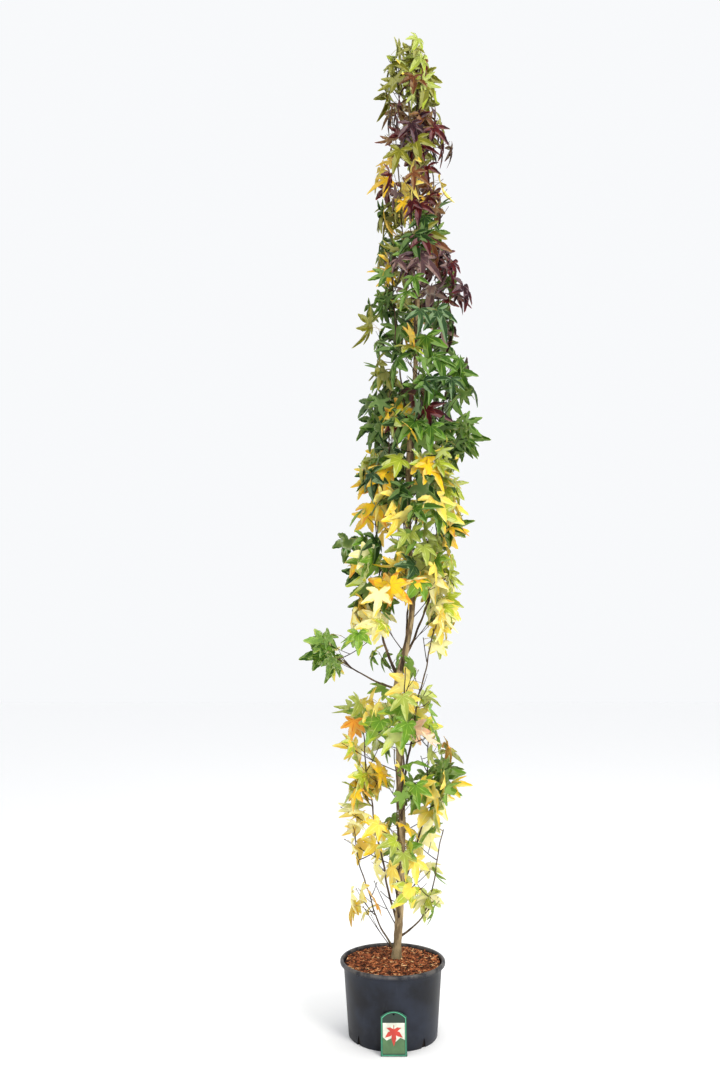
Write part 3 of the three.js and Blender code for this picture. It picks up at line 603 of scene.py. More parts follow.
# Which tints the sprays take, by the height that they grow below: to the left, to the right.
TINTS_BELOW = [
    (600, "straw gold yellow amber straw", "straw yellow straw fresh lime"),
    (750, "straw gold yellow straw sage straw", "straw straw fresh lime yellow"),
    (1150, "yellow straw gold lime straw yellow", "yellow straw fresh yellow sage green"),
    (1420, "lime yellow sage amber fresh yellow", "fresh yellow lime green blush amber"),
    (1700, "fresh lime straw green green", "straw yellow lime straw straw fresh"),
    (1950, "yellow straw gold straw green lime", "yellow straw lime yellow fresh straw"),
    (2110, "deep green deep sea deep fresh", "green yellow lime deep gold sage"),
    (2340, "gold yellow fresh yellow deep lime", "yellow gold green yellow deep lime"),
    (2560, "deep lime green gold green sea", "green lime sea lime green deep"),
    (2780, "deep green sea green gold deep", "sea deep green deep sea green"),
    (3050, "gold sea deep olive deep deep", "olive deep plum deep sea green"),
    (3170, "green gold deep plum blush deep", "plum deep plum maroon mauve deep"),
    (3410, "green deep mauve deep gold plum olive deep", "green plum maroon mauve plum plum"),
    (3640, "green olive deep olive gold maroon", "deep green sea deep olive maroon"),
    (3860, "maroon plum gold yellow maroon olive", "yellow bronze mauve deep gold blush"),
    (4100, "maroon plum bronze olive maroon plum", "maroon plum bronze olive maroon mauve"),
    (4230, "sage lime olive bronze", "sage maroon olive sage bronze"),
    (TREE_TOP, "olive bronze sage olive lime", "sage bronze lime olive sage"),
]
TINT_BANDS_BLUR = 70
TINT_SIDES_BLUR = 50
SPRAY_KEEPS_TINT = 0.6
TIPS_TURN = 0.3  # of the blades, whose lobe tips have the tint that comes next
HEART_TURNS = 0.07
BLADE_ROUGHNESS = {"face": 0.52, "vein": 0.55, "under": 0.68}
LIGHT_THROUGH = {"glow": 0.45, "glow_radius": (1, 1, 0.6), "glow_scale": 0.0015}

# The mulch chips' dark and light tone, and how many of thirty chips have them.
CHIP_TONES = {
    "russet": ((128, 70, 43), (170, 102, 66), 8),
    "brown": ((88, 50, 32), (126, 78, 52), 8),
    "dark": ((46, 27, 20), (72, 45, 33), 6),
    "orange": ((166, 98, 60), (210, 140, 92), 6),
    "pale": ((204, 156, 108), (238, 202, 154), 2),
}

CARD_TONES = {
    "green": (16, 84, 62),
    "mint": (84, 198, 150),
    "dark_green": (12, 48, 34),
    "cream": (226, 228, 212),
    "hedge": (84, 122, 78),
    "red": (206, 62, 44),
}


def blade_finishes():
    """The finishes of the stalks, and of the blades' faces, veins and undersides in each tint."""
    made = {"stalk": Finish("leaf_stalk", STALK_TONE, roughness=0.55).material}
    for tint, (*colours, _) in TINTS.items():
        for (kind, roughness), colour in zip(BLADE_ROUGHNESS.items(), colours):
            finish = Finish(f"leaf_{tint}_{kind}", colour, roughness, sheen=0.14, **LIGHT_THROUGH)
            made[f"{tint}_{kind}"] = finish.material
    return made


# ---------------------------------------------------------------- small helpers

DRAW_FACTOR = 1664525
DRAW_SHIFT = 1013904223
DRAW_RANGE = 2**32
STEEP = 0.9
ASIDE = (0.31, 0.17, 0.93)  # a way that a limb which isn't steep doesn't point in
ASIDE_OF_STEEP = (1, 0, 0)
FLOW_POINTS = 201
ARCH_POINTS = 9
NARROWEST_GAP = 1e-4


def seeded(seed):
    """Draws from nought to one, which are the same each time for the same seed."""
    state = seed

    def draw():
        nonlocal state
        state = (state * DRAW_FACTOR + DRAW_SHIFT) % DRAW_RANGE
        return state / DRAW_RANGE

    return draw


def drawn(random, least, varies):
    return least + varies * random()


def part_way(first, second, share):
    return first + (second - first) * share


def unit(vector):
    return vector / np.linalg.norm(vector, axis=-1, keepdims=True)


def heading(degrees, rise_degrees):
    """The way that a bearing and a rise point."""
    turn, rise = np.broadcast_arrays(np.radians(degrees), np.radians(rise_degrees))
    return np.stack([np.cos(turn) * np.cos(rise), np.sin(turn) * np.cos(rise), np.sin(rise)], axis=-1)


def let_go():
    bpy.ops.object.select_all(action="DESELECT")


def take(piece):
    let_go()
    piece.select_set(True)
    bpy.context.view_layer.objects.active = piece
    return piece


def apply_modifiers(piece):
    take(piece)
    for name in [modifier.name for modifier in piece.modifiers]:
        bpy.ops.object.modifier_apply(modifier=name)


def settle(piece, name, smooth_degrees):
    """Names a piece, puts its place into its mesh and smooths its shallow edges."""
    take(piece)
    bpy.ops.object.transform_apply(location=True, rotation=True, scale=True)
    bpy.ops.object.shade_smooth_by_angle(angle=math.radians(smooth_degrees))
    piece.name = name
    piece.data.name = name
    return piece


def cut_away(piece, tool, name):
    """Cuts a tool's form out of a piece and puts the tool away."""
    cut = piece.modifiers.new(name, "BOOLEAN")
    cut.operation = "DIFFERENCE"
    cut.object = tool
    apply_modifiers(piece)
    bpy.data.objects.remove(tool)


def join(pieces):
    let_go()
    for piece in pieces:
        piece.select_set(True)
    bpy.context.view_layer.objects.active = pieces[0]
    bpy.ops.object.join()
    return bpy.context.object


class Heap:
    """Many small things that become one piece."""

    def __init__(self):
        self.corners = []
        self.faces = []
        self.kinds = []
        self.count = 0

    def add(self, corners, faces, kinds):
        self.faces += [[index + self.count for index in face] for face in faces]
        self.kinds += kinds if isinstance(kinds, list) else [kinds] * len(faces)
        self.corners.append(corners)
        self.count += len(corners)

    def piece(self, name, finishes):
        mesh = bpy.data.meshes.new(name)
        mesh.from_pydata((np.concatenate(self.corners) * MM).tolist(), [], self.faces)
        used = sorted(set(self.kinds))
        for kind in used:
            mesh.materials.append(finishes[kind])
        mesh.polygons.foreach_set("material_index", [used.index(kind) for kind in self.kinds])
        made = bpy.data.objects.new(name, mesh)
        bpy.context.scene.collection.objects.link(made)
        return made


def stick(points, radii, sides):
    """The corners and faces of a closed round stick along points."""
    points = np.asarray(points, float)
    ways = unit(np.gradient(points, axis=0))
    across = unit(np.cross(ways[0], ASIDE if abs(ways[0][2]) < STEEP else ASIDE_OF_STEEP))
    turns = 2 * np.pi * np.arange(sides) / sides
    rings = []
    for place, way, radius in zip(points, ways, radii):
        across = unit(across - way * (across @ way))
        up = np.cross(way, across)
        rings.append(place + radius * (np.outer(np.cos(turns), across) + np.outer(np.sin(turns), up)))
    faces = []
    for row in range(len(points) - 1):
        for side in range(sides):
            following = (side + 1) % sides
            low, high = row * sides, (row + 1) * sides
            faces.append([low + side, low + following, high + following, high + side])
    faces.append(list(range(sides))[::-1])
    faces.append([(len(points) - 1) * sides + side for side in range(sides)])
    return np.concatenate(rings), faces


# ---------------------------------------------------------------- lines that the limbs follow

class Way:
    """A line that is read by the share of its length gone along it."""

    def __init__(self, points):
        self.points = np.asarray(points, float)
        steps = np.linalg.norm(np.diff(self.points, axis=0), axis=1)
        self.length = steps.sum()
        self.shares = np.concatenate([[0], np.cumsum(steps)]) / self.length

    def at(self, share):
        return np.stack([np.interp(share, self.shares, axis) for axis in self.points.T], axis=-1)


def flow(points, start=0.0, end=1.0):
    """A centripetal Catmull-Rom line through points, between two shares of its own measure."""
    points = np.asarray(points, float)
    ends = np.vstack([2 * points[0] - points[1], points, 2 * points[-1] - points[-2]])
    spans = len(points) - 1
    made = []
    for measure in np.linspace(start * spans, end * spans, FLOW_POINTS):
        span = min(int(measure), spans - 1)
        share = measure - span
        before, low, high, after = ends[span:span + 4]
        gap_in, gap, gap_out = (
            max(np.linalg.norm(second - first) ** 0.5, NARROWEST_GAP)
            for first, second in ((before, low), (low, high), (high, after))
        )
        leave = ((low - before) / gap_in - (high - before) / (gap_in + gap) + (high - low) / gap) * gap
        arrive = ((high - low) / gap - (after - low) / (gap + gap_out) + (after - high) / gap_out) * gap
        square, cube = share**2, share**3
        made.append(
            (2 * cube - 3 * square + 1) * low
            + (cube - 2 * square + share) * leave
            + (3 * square - 2 * cube) * high
            + (cube - square) * arrive
        )
    return Way(made)


def arch(start, bend, end, count=ARCH_POINTS):
    """A line that bends once, towards a place that it doesn't reach."""
    share = np.linspace(0, 1, count)[:, None]
    return Way((1 - share) ** 2 * start + 2 * share * (1 - share) * bend + share**2 * end)


def trunk_at(height):
    """How far to the right and to the back the trunk's line stands at a height."""
    return [np.interp(height, TRUNK_LINE[:, 0], TRUNK_LINE[:, column]) for column in (1, 2)]


def crown_reach(height, turn):
    """How far the crown reaches from the trunk's line at a height, towards a bearing in radians."""
    axis = trunk_at(height)[0]
    to_left = np.interp(height, CROWN_REACH[:, 0], CROWN_REACH[:, 1]) + axis
    to_right = np.interp(height, CROWN_REACH[:, 0], CROWN_REACH[:, 2]) - axis
    sideways = np.where(np.cos(turn) < 0, to_left, to_right)
    deep = np.clip((to_left + to_right) / 2, LEAST_DEPTH, MOST_DEPTH)
    return 1 / np.hypot(np.cos(turn) / sideways, np.sin(turn) / deep)


def place_at(degrees, out, height):
    right, back = trunk_at(height)
    turn = math.radians(degrees)
    return np.array([right + out * math.cos(turn), back + out * math.sin(turn), height])


def limb_line(mass):
    """The foot, heel, entry, knee and top of a bough and the stem that it becomes."""
    stem_top = mass["ceiling"] - (LEADER_HEADROOM if mass["leads"] else HEADROOM)
    entry_height = mass["floor"] + ENTRY_RISE
    heel_height = part_way(mass["root"], entry_height, HEEL_RISE_SHARE)
    knee_height = part_way(entry_height, stem_top, KNEE_RISE_SHARE)
    knee_out = part_way(mass["entry"], mass["tip"], KNEE_OUT_SHARE)
    return [
        place_at(mass["facing"], 0, mass["root"]),
        place_at(mass["facing"], mass["entry"] * HEEL_OUT_SHARE, heel_height),
        place_at(mass["facing"], mass["entry"], entry_height),
        place_at(mass["facing"], knee_out, knee_height),
        place_at(mass["facing"], mass["tip"], stem_top),
    ]


# ---------------------------------------------------------------- pot, mix and mulch

def thrown(rings, sides):
    """A closed round form, drawn up ring by ring: each ring is its radius and its height."""
    let_go()
    radius, height = rings[0]
    bpy.ops.mesh.primitive_circle_add(vertices=sides, radius=radius * MM, location=(0, 0, height * MM))
    bpy.ops.object.transform_apply(location=True)
    bpy.ops.object.mode_set(mode="EDIT")
    bpy.ops.mesh.select_all(action="SELECT")
    for (old_radius, old_height), (radius, height) in zip(rings, rings[1:]):
        rise = (0, 0, (height - old_height) * MM)
        bpy.ops.mesh.extrude_region_move(TRANSFORM_OT_translate={"value": rise})
        grow = radius / old_radius
        bpy.ops.transform.resize(value=(grow, grow, 1))
    bpy.ops.mesh.select_all(action="SELECT")
    bpy.ops.mesh.fill_holes(sides=0)
    bpy.ops.mesh.normals_make_consistent(inside=False)
    bpy.ops.object.mode_set(mode="OBJECT")
    return bpy.context.object


def wall_radius(height):
    return part_way(POT_FOOT_RADIUS, POT_TOP_RADIUS, height / (POT_HEIGHT - RIM_HEIGHT))


def notch_cutter(turn):
    """A wedge that cuts one drainage notch: broad below the pot's foot, sharp at its top."""
    let_go()
    bpy.ops.mesh.primitive_cube_add(size=MM)
    bpy.ops.object.mode_set(mode="EDIT")
    bpy.ops.mesh.select_all(action="SELECT")
    bpy.ops.transform.resize(value=(NOTCH_WIDTH, NOTCH_DEPTH, NOTCH_HEIGHT + NOTCH_OVERCUT))
    bpy.ops.object.mode_set(mode="OBJECT")
    cutter = bpy.context.object
    for corner in cutter.data.vertices:
        if corner.co.z > 0:
            corner.co.x *= NOTCH_TOP_SHARE
    middle_out = POT_FOOT_RADIUS + NOTCH_OVERCUT - NOTCH_DEPTH / 2
    cutter.location = (0, -middle_out * MM, (NOTCH_HEIGHT - NOTCH_OVERCUT) / 2 * MM)
    bpy.ops.object.transform_apply(location=True)
    cutter.rotation_euler = (0, 0, turn)
    bpy.ops.object.transform_apply(rotation=True)
    return cutter


def nursery_pot():
    foot = [(POT_FOOT_RADIUS - FOOT_BEVEL, 0), (POT_FOOT_RADIUS, FOOT_BEVEL_HEIGHT)]
    outside = [(wall_radius(height), height) for height in OUTER_WALL_RINGS]
    inside = [(wall_radius(height) - POT_WALL, height) for height in INNER_WALL_RINGS]
    pot = thrown(foot + outside + RIM + inside, POT_SIDES)
    turns = [math.radians(FIRST_NOTCH_DEGREES + 360 * index / NOTCHES) for index in range(NOTCHES)]
    cut_away(pot, join([notch_cutter(turn) for turn in turns]), "notches")
    pot.data.materials.append(pot_finish())
    settle(pot, "nursery_pot", smooth_degrees=35)
    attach(pot, BODY)
    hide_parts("pot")


def mulch_height(radius):
    """The mulch's surface, domed from the pot's wall up to a flat round the trunk."""
    share = np.clip((radius - MULCH_FLAT_RADIUS) / (MULCH_EDGE_RADIUS - MULCH_FLAT_RADIUS), 0, 1)
    return part_way(MULCH_TOP, MULCH_EDGE, share)


def mulch():
    for piece in (mulch_bed(), mulch_chips()):
        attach(piece, BODY)
        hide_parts("bark_mulch")


def mulch_bed():
    radii = np.linspace(BED_OUTER_RADIUS, BED_INNER_RADIUS, BED_RINGS)
    surface = [(radius, mulch_height(radius) - BED_SINKS) for radius in radii]
    bed = thrown([BED_UNDERSIDE, *surface], BED_SIDES)
    bed.data.materials.append(crumbly_finish("mulch_bed", *BED_CRUMBS))
    roughen(bed, "mulch_lumps", size=0.022, strength=0.006, depth=2, direction="Z")
    apply_modifiers(bed)
    return settle(bed, "mulch_bed", smooth_degrees=60)


def mulch_chips():
    random = seeded(CHIPS_SEED)
    chips = Heap()
    dealt = [kind for kind, (_, _, share) in CHIP_TONES.items() for _ in range(share)]
    for _ in range(CHIPS):
        radius = CHIPS_REACH * math.sqrt(random())
        turn = 2 * math.pi * random()
        large = 1 if random() < USUAL_CHIPS_SHARE else LARGE_CHIP
        long = large * drawn(random, *CHIP_LENGTH)
        wide = large * drawn(random, *CHIP_BREADTH)
        thick = drawn(random, *CHIP_THICKNESS)
        centre = np.array([radius * math.cos(turn), radius * math.sin(turn), mulch_height(radius)])
        centre[2] += drawn(random, *CHIP_LIFT)
        corners, faces = bark_chip(long, wide, thick, random)
        turned = 360 * random()
        roll = CHIP_ROLLS_DEGREES * (random() - 0.5)
        pitch = CHIP_PITCHES_DEGREES * (random() - 0.5)
        kind = dealt[int(random() * len(dealt))]
        chips.add(centre + corners @ lean(turned, roll, pitch), faces, kind)
    finishes = {
        kind: grained_finish(f"bark_chip_{kind}", dark, light, roughness=0.84, grain_scale=210)
        for kind, (dark, light, _) in CHIP_TONES.items()
    }
    return chips.piece("mulch_chips", finishes)


def lean(turn, roll, pitch):
    """What rows of corners are multiplied by, to roll, pitch and then turn them by degrees."""
    angles = np.radians([turn, roll, pitch])
    (turn_sin, roll_sin, pitch_sin), (turn_cos, roll_cos, pitch_cos) = np.sin(angles), np.cos(angles)
    spin = np.array([[turn_cos, turn_sin, 0], [-turn_sin, turn_cos, 0], [0, 0, 1]])
    rolled = np.array([[1, 0, 0], [0, roll_cos, roll_sin], [0, -roll_sin, roll_cos]])
    pitched = np.array([[pitch_cos, 0, -pitch_sin], [0, 1, 0], [pitch_sin, 0, pitch_cos]])
    return rolled @ pitched @ spin


def bark_chip(long, wide, thick, random):
    """A splinter of bark: a thin six-cornered plate with ragged ends, thinner along its edge."""
    corners = []
    for shrink, height in ((1, -thick / 2), (CHIP_TOP_SHARE, thick / 2)):
        for x, y in CHIP_CORNERS:
            x *= long / 2 * shrink * drawn(random, *CHIP_RAGGED)
            y *= wide / 2 * shrink * drawn(random, *CHIP_RAGGED)
            corners.append((x, y, height))
    count = len(CHIP_CORNERS)
    low, high = list(range(count)), list(range(count, 2 * count))
    sides = [[i, (i + 1) % count, (i + 1) % count + count, i + count] for i in range(count)]
    return np.array(corners), [low[::-1], high, *sides]


# ---------------------------------------------------------------- plant label

def plate(outline, lift, thickness, finish):
    """A thin flat plate, cut to an outline that runs counterclockwise, lying face up."""
    let_go()
    bpy.ops.mesh.primitive_circle_add(vertices=len(outline), fill_type="NGON")
    made = bpy.context.object
    for corner, (x, y) in zip(made.data.vertices, outline):
        corner.co = (x * MM, y * MM, lift * MM)
    made.data.materials.append(finish)
    take(made)
    bpy.ops.object.mode_set(mode="EDIT")
    bpy.ops.mesh.select_all(action="SELECT")
    bpy.ops.mesh.normals_make_consistent(inside=False)
    bpy.ops.object.mode_set(mode="OBJECT")
    if made.data.polygons[0].normal.z < 0:
        made.data.flip_normals()
    solid = made.modifiers.new("thickness", "SOLIDIFY")
    solid.thickness = thickness * MM
    solid.offset = -1
    apply_modifiers(made)
    return made


def arched(width, height, arch_height):
    """The outline of a card with an arched top, from the left of its foot."""
    half, shoulder = width / 2, height - arch_height
    outline = [(-half, 0), (half, 0), (half, shoulder)]
    for step in range(1, 2 * LABEL_ARCH_STEPS):
        share = step / LABEL_ARCH_STEPS
        side = 1 if share <= 1 else -1
        part = share if share <= 1 else 2 - share
        x = (1 - part) ** 2 * half + 2 * part * (1 - part) * half * LABEL_ARCH_FULLNESS
        y = (1 - part) ** 2 * shoulder + (1 - (1 - part) ** 2) * height
        outline.append((side * x, y))
    return [*outline, (-half, shoulder)]


def hang_hole_cutter():
    let_go()
    bpy.ops.mesh.primitive_cylinder_add(
        vertices=HANG_HOLE_SIDES, radius=HANG_HOLE_RADIUS * MM, depth=PUNCH_LENGTH * MM
    )
    bpy.context.object.location = (0, HANG_HOLE_HEIGHT * MM, 0)
    return bpy.context.object


def plant_label():
    cards = {kind: card_finish(f"card_{kind}", tone) for kind, tone in CARD_TONES.items()}
    panel_foot = [(-PANEL_HALF, PANEL_FOOT), (PANEL_HALF, PANEL_FOOT)]
    prints = [
        (inset(LINE_MARGIN), "mint"),
        (inset(HEADER_MARGIN), "dark_green"),
        ([*panel_foot, (PANEL_HALF, PANEL_TOP), (-PANEL_HALF, PANEL_TOP)], "cream"),
        ([*panel_foot, *HEDGE_TOP], "hedge"),
        (leaf_motif(MOTIF_WIDTH, MOTIF_JOINT), "red"),
        (MOTIF_STALK, "red"),
    ]
    layers = [plate(inset(0), LABEL_THICKNESS, LABEL_THICKNESS, cards["green"])]
    for number, (outline, kind) in enumerate(prints, 1):
        lift = LABEL_THICKNESS + number * PRINT_THICKNESS
        layers.append(plate(outline, lift, PRINT_THICKNESS, cards[kind]))
    card, line, header, *_ = layers
    for layer in (card, line, header):
        cut_away(layer, hang_hole_cutter(), "hang_hole")
    label = join(layers)
    back = math.asin((LABEL_FOOT_OUT - LABEL_TOP_OUT) / LABEL_HEIGHT)
    label.rotation_euler = (math.pi / 2 - back, 0, 0)
    label.location = (LABEL_TO_RIGHT * MM, -LABEL_FOOT_OUT * MM, LABEL_LIFT * MM)
    settle(label, "plant_label", smooth_degrees=30)
    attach(label, BODY)
    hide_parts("label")


def leaf_motif(width, height):
    """The outline of a leaf that hangs by its stalk from a height on the label."""
    outline = [HOLLOWS[0]]
    for (degrees, length, half), hollow in zip(LOBES, HOLLOWS[1:]):
        broadest = math.degrees(math.atan(half / length / BULGE_SHARE))
        bulge = length * MOTIF_BULGE_SHARE
        outline += [(degrees - broadest, bulge), (degrees, length), (degrees + broadest, bulge), hollow]
    places = [bearing(degrees) * length * width for degrees, length in outline]
    return [(x, height - y) for x, y in places]


def inset(margin):
    """The label's outline, drawn in by a margin."""
    rows = arched(LABEL_WIDTH - 2 * margin, LABEL_HEIGHT - 2 * margin, LABEL_ARCH)
    return [(x, y + margin) for x, y in rows]


# ---------------------------------------------------------------- trunk and boughs

def swept(name, limbs, sides):
    """Round limbs, each a line of places with a radius at each, as one mesh."""
    let_go()
    bpy.ops.curve.primitive_bezier_curve_add()
    made = bpy.context.object
    curve = made.data
    curve.splines.clear()
    for places, radii in limbs:
        spline = curve.splines.new("POLY")
        spline.points.add(len(places) - 1)
        for point, place, radius in zip(spline.points, places, radii):
            point.co = (*(place * MM), 1)
            point.radius = radius
    curve.dimensions = "3D"
    curve.twist_mode = "MINIMUM"
    curve.bevel_depth = MM
    curve.bevel_resolution = (sides - 4) // 2  # it counts the sides beyond four, two by two
    curve.use_fill_caps = True
    take(made)
    bpy.ops.object.convert(target="MESH")
    made = bpy.context.object
    made.name = name
    return made


def roughen(piece, name, size, strength, depth=3, direction="NORMAL"):
    """Heaves a piece's surface in and out by a cloudy relief."""
    cloud = bpy.data.textures.new(name, "CLOUDS")
    cloud.noise_scale = size
    cloud.noise_depth = depth
    relief = piece.modifiers.new(name, "DISPLACE")
    relief.texture = cloud
    relief.strength = strength
    relief.direction = direction


def knotted(radii, measures, knots, random):
    """Radii along a limb with the swellings that old buds left on it."""
    place = knots["first"]
    while place < measures[-1]:
        radii = radii * (1 + knots["swell"] * np.exp(-(((measures - place) / knots["half"]) ** 2)))
        place += drawn(random, *knots["gap"])
    return radii


def trunk_radius(share):
    taper = (TRUNK_FOOT_RADIUS - TRUNK_TIP_RADIUS) * (1 - share) ** TRUNK_TAPER
    climbed = share * (TREE_TOP - TRUNK_FOOT)
    return TRUNK_TIP_RADIUS + taper + FLARE * np.exp(-climbed / FLARE_FADES_OVER)


def trunk(masses):
    shares = np.linspace(0, 1, TRUNK_ROWS)
    places = flow(TRUNK_LINE[:, [1, 2, 0]]).at(shares)
    radii = trunk_radius(shares)
    heights = places[:, 2]
    for mass in masses:
        from_collar = (heights - mass["root"] - COLLAR["half"]) / COLLAR["half"]
        radii = radii * (1 + COLLAR["swell"] * np.exp(-(from_collar**2)))
    radii = knotted(radii, heights, TRUNK_KNOTS, seeded(TRUNK_SEED))
    places[0, 2] -= TRUNK_SINKS
    made = swept("trunk_bark", [(places, radii)], TRUNK_SIDES)
    roughen(made, "bark_plates", size=0.011, strength=0.0016)
    roughen(made, "bark_grain", size=0.0035, strength=0.0007)
    apply_modifiers(made)
    made.data.materials.append(bark_finish("trunk_bark", *TRUNK_TONES, relief=0.0011))
    settle(made, "trunk_bark", smooth_degrees=70)
    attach(made, BODY)
    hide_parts("trunk")


def bough(mass, random):
    """A bough and the stem that it becomes: the places along its line and its radius at each."""
    line = flow(limb_line(mass))
    joint = flow(limb_line(mass), 0, BOUGH_END).length / line.length
    shares = np.linspace(0, 1, max(BOUGH_LEAST_ROWS, int(line.length / BOUGH_ROW_LENGTH)))
    gone = shares * line.length
    radii = [mass["radius"], mass["radius"] * LIMB_TIP_SHARE, STEM_TIP_RADIUS]
    radii = np.interp(shares, [0, joint, 1], radii)
    radii = radii * (1 + BOUGH_FLARE_SHARE * np.exp(-gone / BOUGH_FLARE_FADES_OVER))
    places = line.at(shares)
    for axis in (0, 1):
        for wave_length in WANDER_LENGTHS:
            wander = np.sin(2 * np.pi * (gone / wave_length + random()))
            places[:, axis] += wander * wave_length * WANDER_SHARE * np.clip(shares * WANDER_STARTS, 0, 1)
    return places, knotted(radii, gone, BOUGH_KNOTS, random)


def boughs(masses):
    limbs = [bough(mass, seeded(BOUGHS_SEED + index)) for index, mass in enumerate(masses)]
    made = swept("boughs_bark", limbs, BOUGH_SIDES)
    roughen(made, "bough_grain", size=0.005, strength=0.0007)
    apply_modifiers(made)
    made.data.materials.append(bark_finish("bough_bark", *BOUGH_TONES, relief=0.0008))
    settle(made, "boughs_bark", smooth_degrees=70)
    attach(made, BODY)
    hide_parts(*(f"bough_{mass['name']}" for mass in masses if not mass["leads"]))


# ---------------------------------------------------------------- leaves

# A blade of width 1 round the point where its stalk joins it. Each lobe is degrees from the
# tip, length and half its breadth, and each hollow between lobes is degrees and length.
LOBES = [(-106, 0.46, 0.096), (-53, 0.67, 0.128), (0, 0.86, 0.142), (53, 0.67, 0.128), (106, 0.46, 0.096)]
HOLLOWS = [(-148, 0.08), (-79, 0.21), (-27, 0.29), (27, 0.29), (79, 0.21), (148, 0.08)]
HOLLOWS_GIVE = 1.5  # how much more than its lobes' breadth a slim blade's hollows draw in
HOLLOWS_LIFT = 0.42  # of a hollow's way out, that its fold lifts it like a place off a vein
NEAR_SHARE = 0.4  # along a lobe's vein, where its first and second corners lie
FAR_SHARE = 0.72
BULGE_SHARE = 0.52
VEIN_HALF = 0.013  # half of a vein's breadth, at its first corner
VEIN_NARROWS = 0.6
TEETH = 2
TOOTH = 0.016
TOOTH_PEAK = 0.66  # of the stretch of margin that each tooth has
TOOTH_NOTCH = 0.9
LOBE_BOW = 0.012  # how far a lobe's margin bows out between its bulge and its tip


def bearing(degrees):
    return np.array([math.sin(math.radians(degrees)), math.cos(math.radians(degrees))])


def leaf_pattern():
    """A blade's flat corners, how far each is from its lobe's vein, the faces of its face and
    of its underside, and the corners that its underside doesn't share with its face."""
    flat, away, faces, under, inner = [np.zeros(2)], [np.zeros(2)], [], [], [0]

    def corner(place, from_vein):
        flat.append(place)
        away.append(from_vein)
        return len(flat) - 1

    hollows = [corner(bearing(degrees) * length, np.zeros(2)) for degrees, length in HOLLOWS]
    for index, (degrees, length, half) in enumerate(LOBES):
        way = bearing(degrees)
        side = np.array([way[1], -way[0]])
        on_vein = np.zeros(2)
        tip = corner(way * length, on_vein)
        low_axis = corner(way * length * NEAR_SHARE, on_vein)
        high_axis = corner(way * length * FAR_SHARE, on_vein)
        inner += [low_axis, high_axis]
        vein = {}
        for turn, hollow in ((-1, hollows[index]), (1, hollows[index + 1])):
            near = corner(way * length * NEAR_SHARE + side * VEIN_HALF * turn, on_vein)
            far = corner(way * length * FAR_SHARE + side * VEIN_HALF * VEIN_NARROWS * turn, on_vein)
            bulge = corner(way * length * BULGE_SHARE + side * half * turn, side * half * turn)
            low = saw(corner, flat, hollow, bulge, turn, side, 0)
            high = saw(corner, flat, bulge, tip, turn, side, LOBE_BOW)
            above = [
                ("heart", [0, hollow, near]),
                ("face", [near, hollow, *low, bulge, far]),
                ("tip", [far, bulge, *high, tip]),
            ]
            below = [
                [0, hollow, low_axis],
                [low_axis, hollow, *low, bulge, high_axis],
                [high_axis, bulge, *high, tip],
            ]
            faces += [(kind, face if turn > 0 else face[::-1]) for kind, face in above]
            under += [face[::-1] if turn > 0 else face for face in below]
            vein[turn] = [near, far]
        faces.append(("vein", [0, *vein[1], tip, *vein[-1][::-1]]))
    return np.array(flat), np.array(away), faces, under, inner


def saw(corner, flat, start, end, turn, side, bow):
    """The teeth between two corners of a blade's margin, pointing along the lobe."""
    step = flat[end] - flat[start]
    outward = turn * np.array([step[1], -step[0]]) / np.linalg.norm(step)
    made = []
    for tooth in range(TEETH):
        peak = flat[start] + step * (tooth + TOOTH_PEAK) / TEETH + outward * (TOOTH + bow)
        made.append(corner(peak, side * (peak @ side)))
        if tooth < TEETH - 1:
            notch = flat[start] + step * (tooth + TOOTH_NOTCH) / TEETH + outward * bow
            made.append(corner(notch, side * (notch @ side)))
    return made


FLAT, AWAY, FACES, UNDER_FACES, INNER = leaf_pattern()
LOBE_TIPS = np.array([bearing(degrees) * length for degrees, length, _ in LOBES])
OUT = np.hypot(FLAT[:, 0], FLAT[:, 1])
IS_HOLLOW = np.isin(np.arange(len(FLAT)), range(1, 1 + len(HOLLOWS)))
FROM_VEIN = np.where(IS_HOLLOW, OUT * HOLLOWS_LIFT, np.hypot(AWAY[:, 0], AWAY[:, 1]))
AWAY[IS_HOLLOW] = FLAT[IS_HOLLOW] * HOLLOWS_GIVE


def leaf_faces():
    """The faces of a whole blade, its underside included, and the kind of each."""
    under = {index: len(FLAT) + order for order, index in enumerate(INNER)}
    faces = [face for _, face in FACES]
    kinds = [kind for kind, _ in FACES]
    faces += [[under.get(index, index) for index in face] for face in UNDER_FACES]
    return faces, kinds + ["under"] * len(UNDER_FACES)


BLADE_FACES, BLADE_KINDS = leaf_faces()


def blade_corners(leaf):
    """A blade's corners in place: folded along its veins and drooping to its tips."""
    broad, fold, droop, twist, cup = leaf["shape"]
    flat = FLAT + AWAY * (broad - 1)
    rise = fold * FROM_VEIN - droop * OUT**2
    rise += twist * flat[:, 0] * flat[:, 1] - cup * flat[:, 0] ** 2
    local = np.column_stack([flat, rise]) * leaf["width"]
    lower = local[INNER] - [0, 0, LEAF_THICKNESS]
    return leaf["joint"] + np.vstack([local, lower]) @ np.array(leaf["stand"])


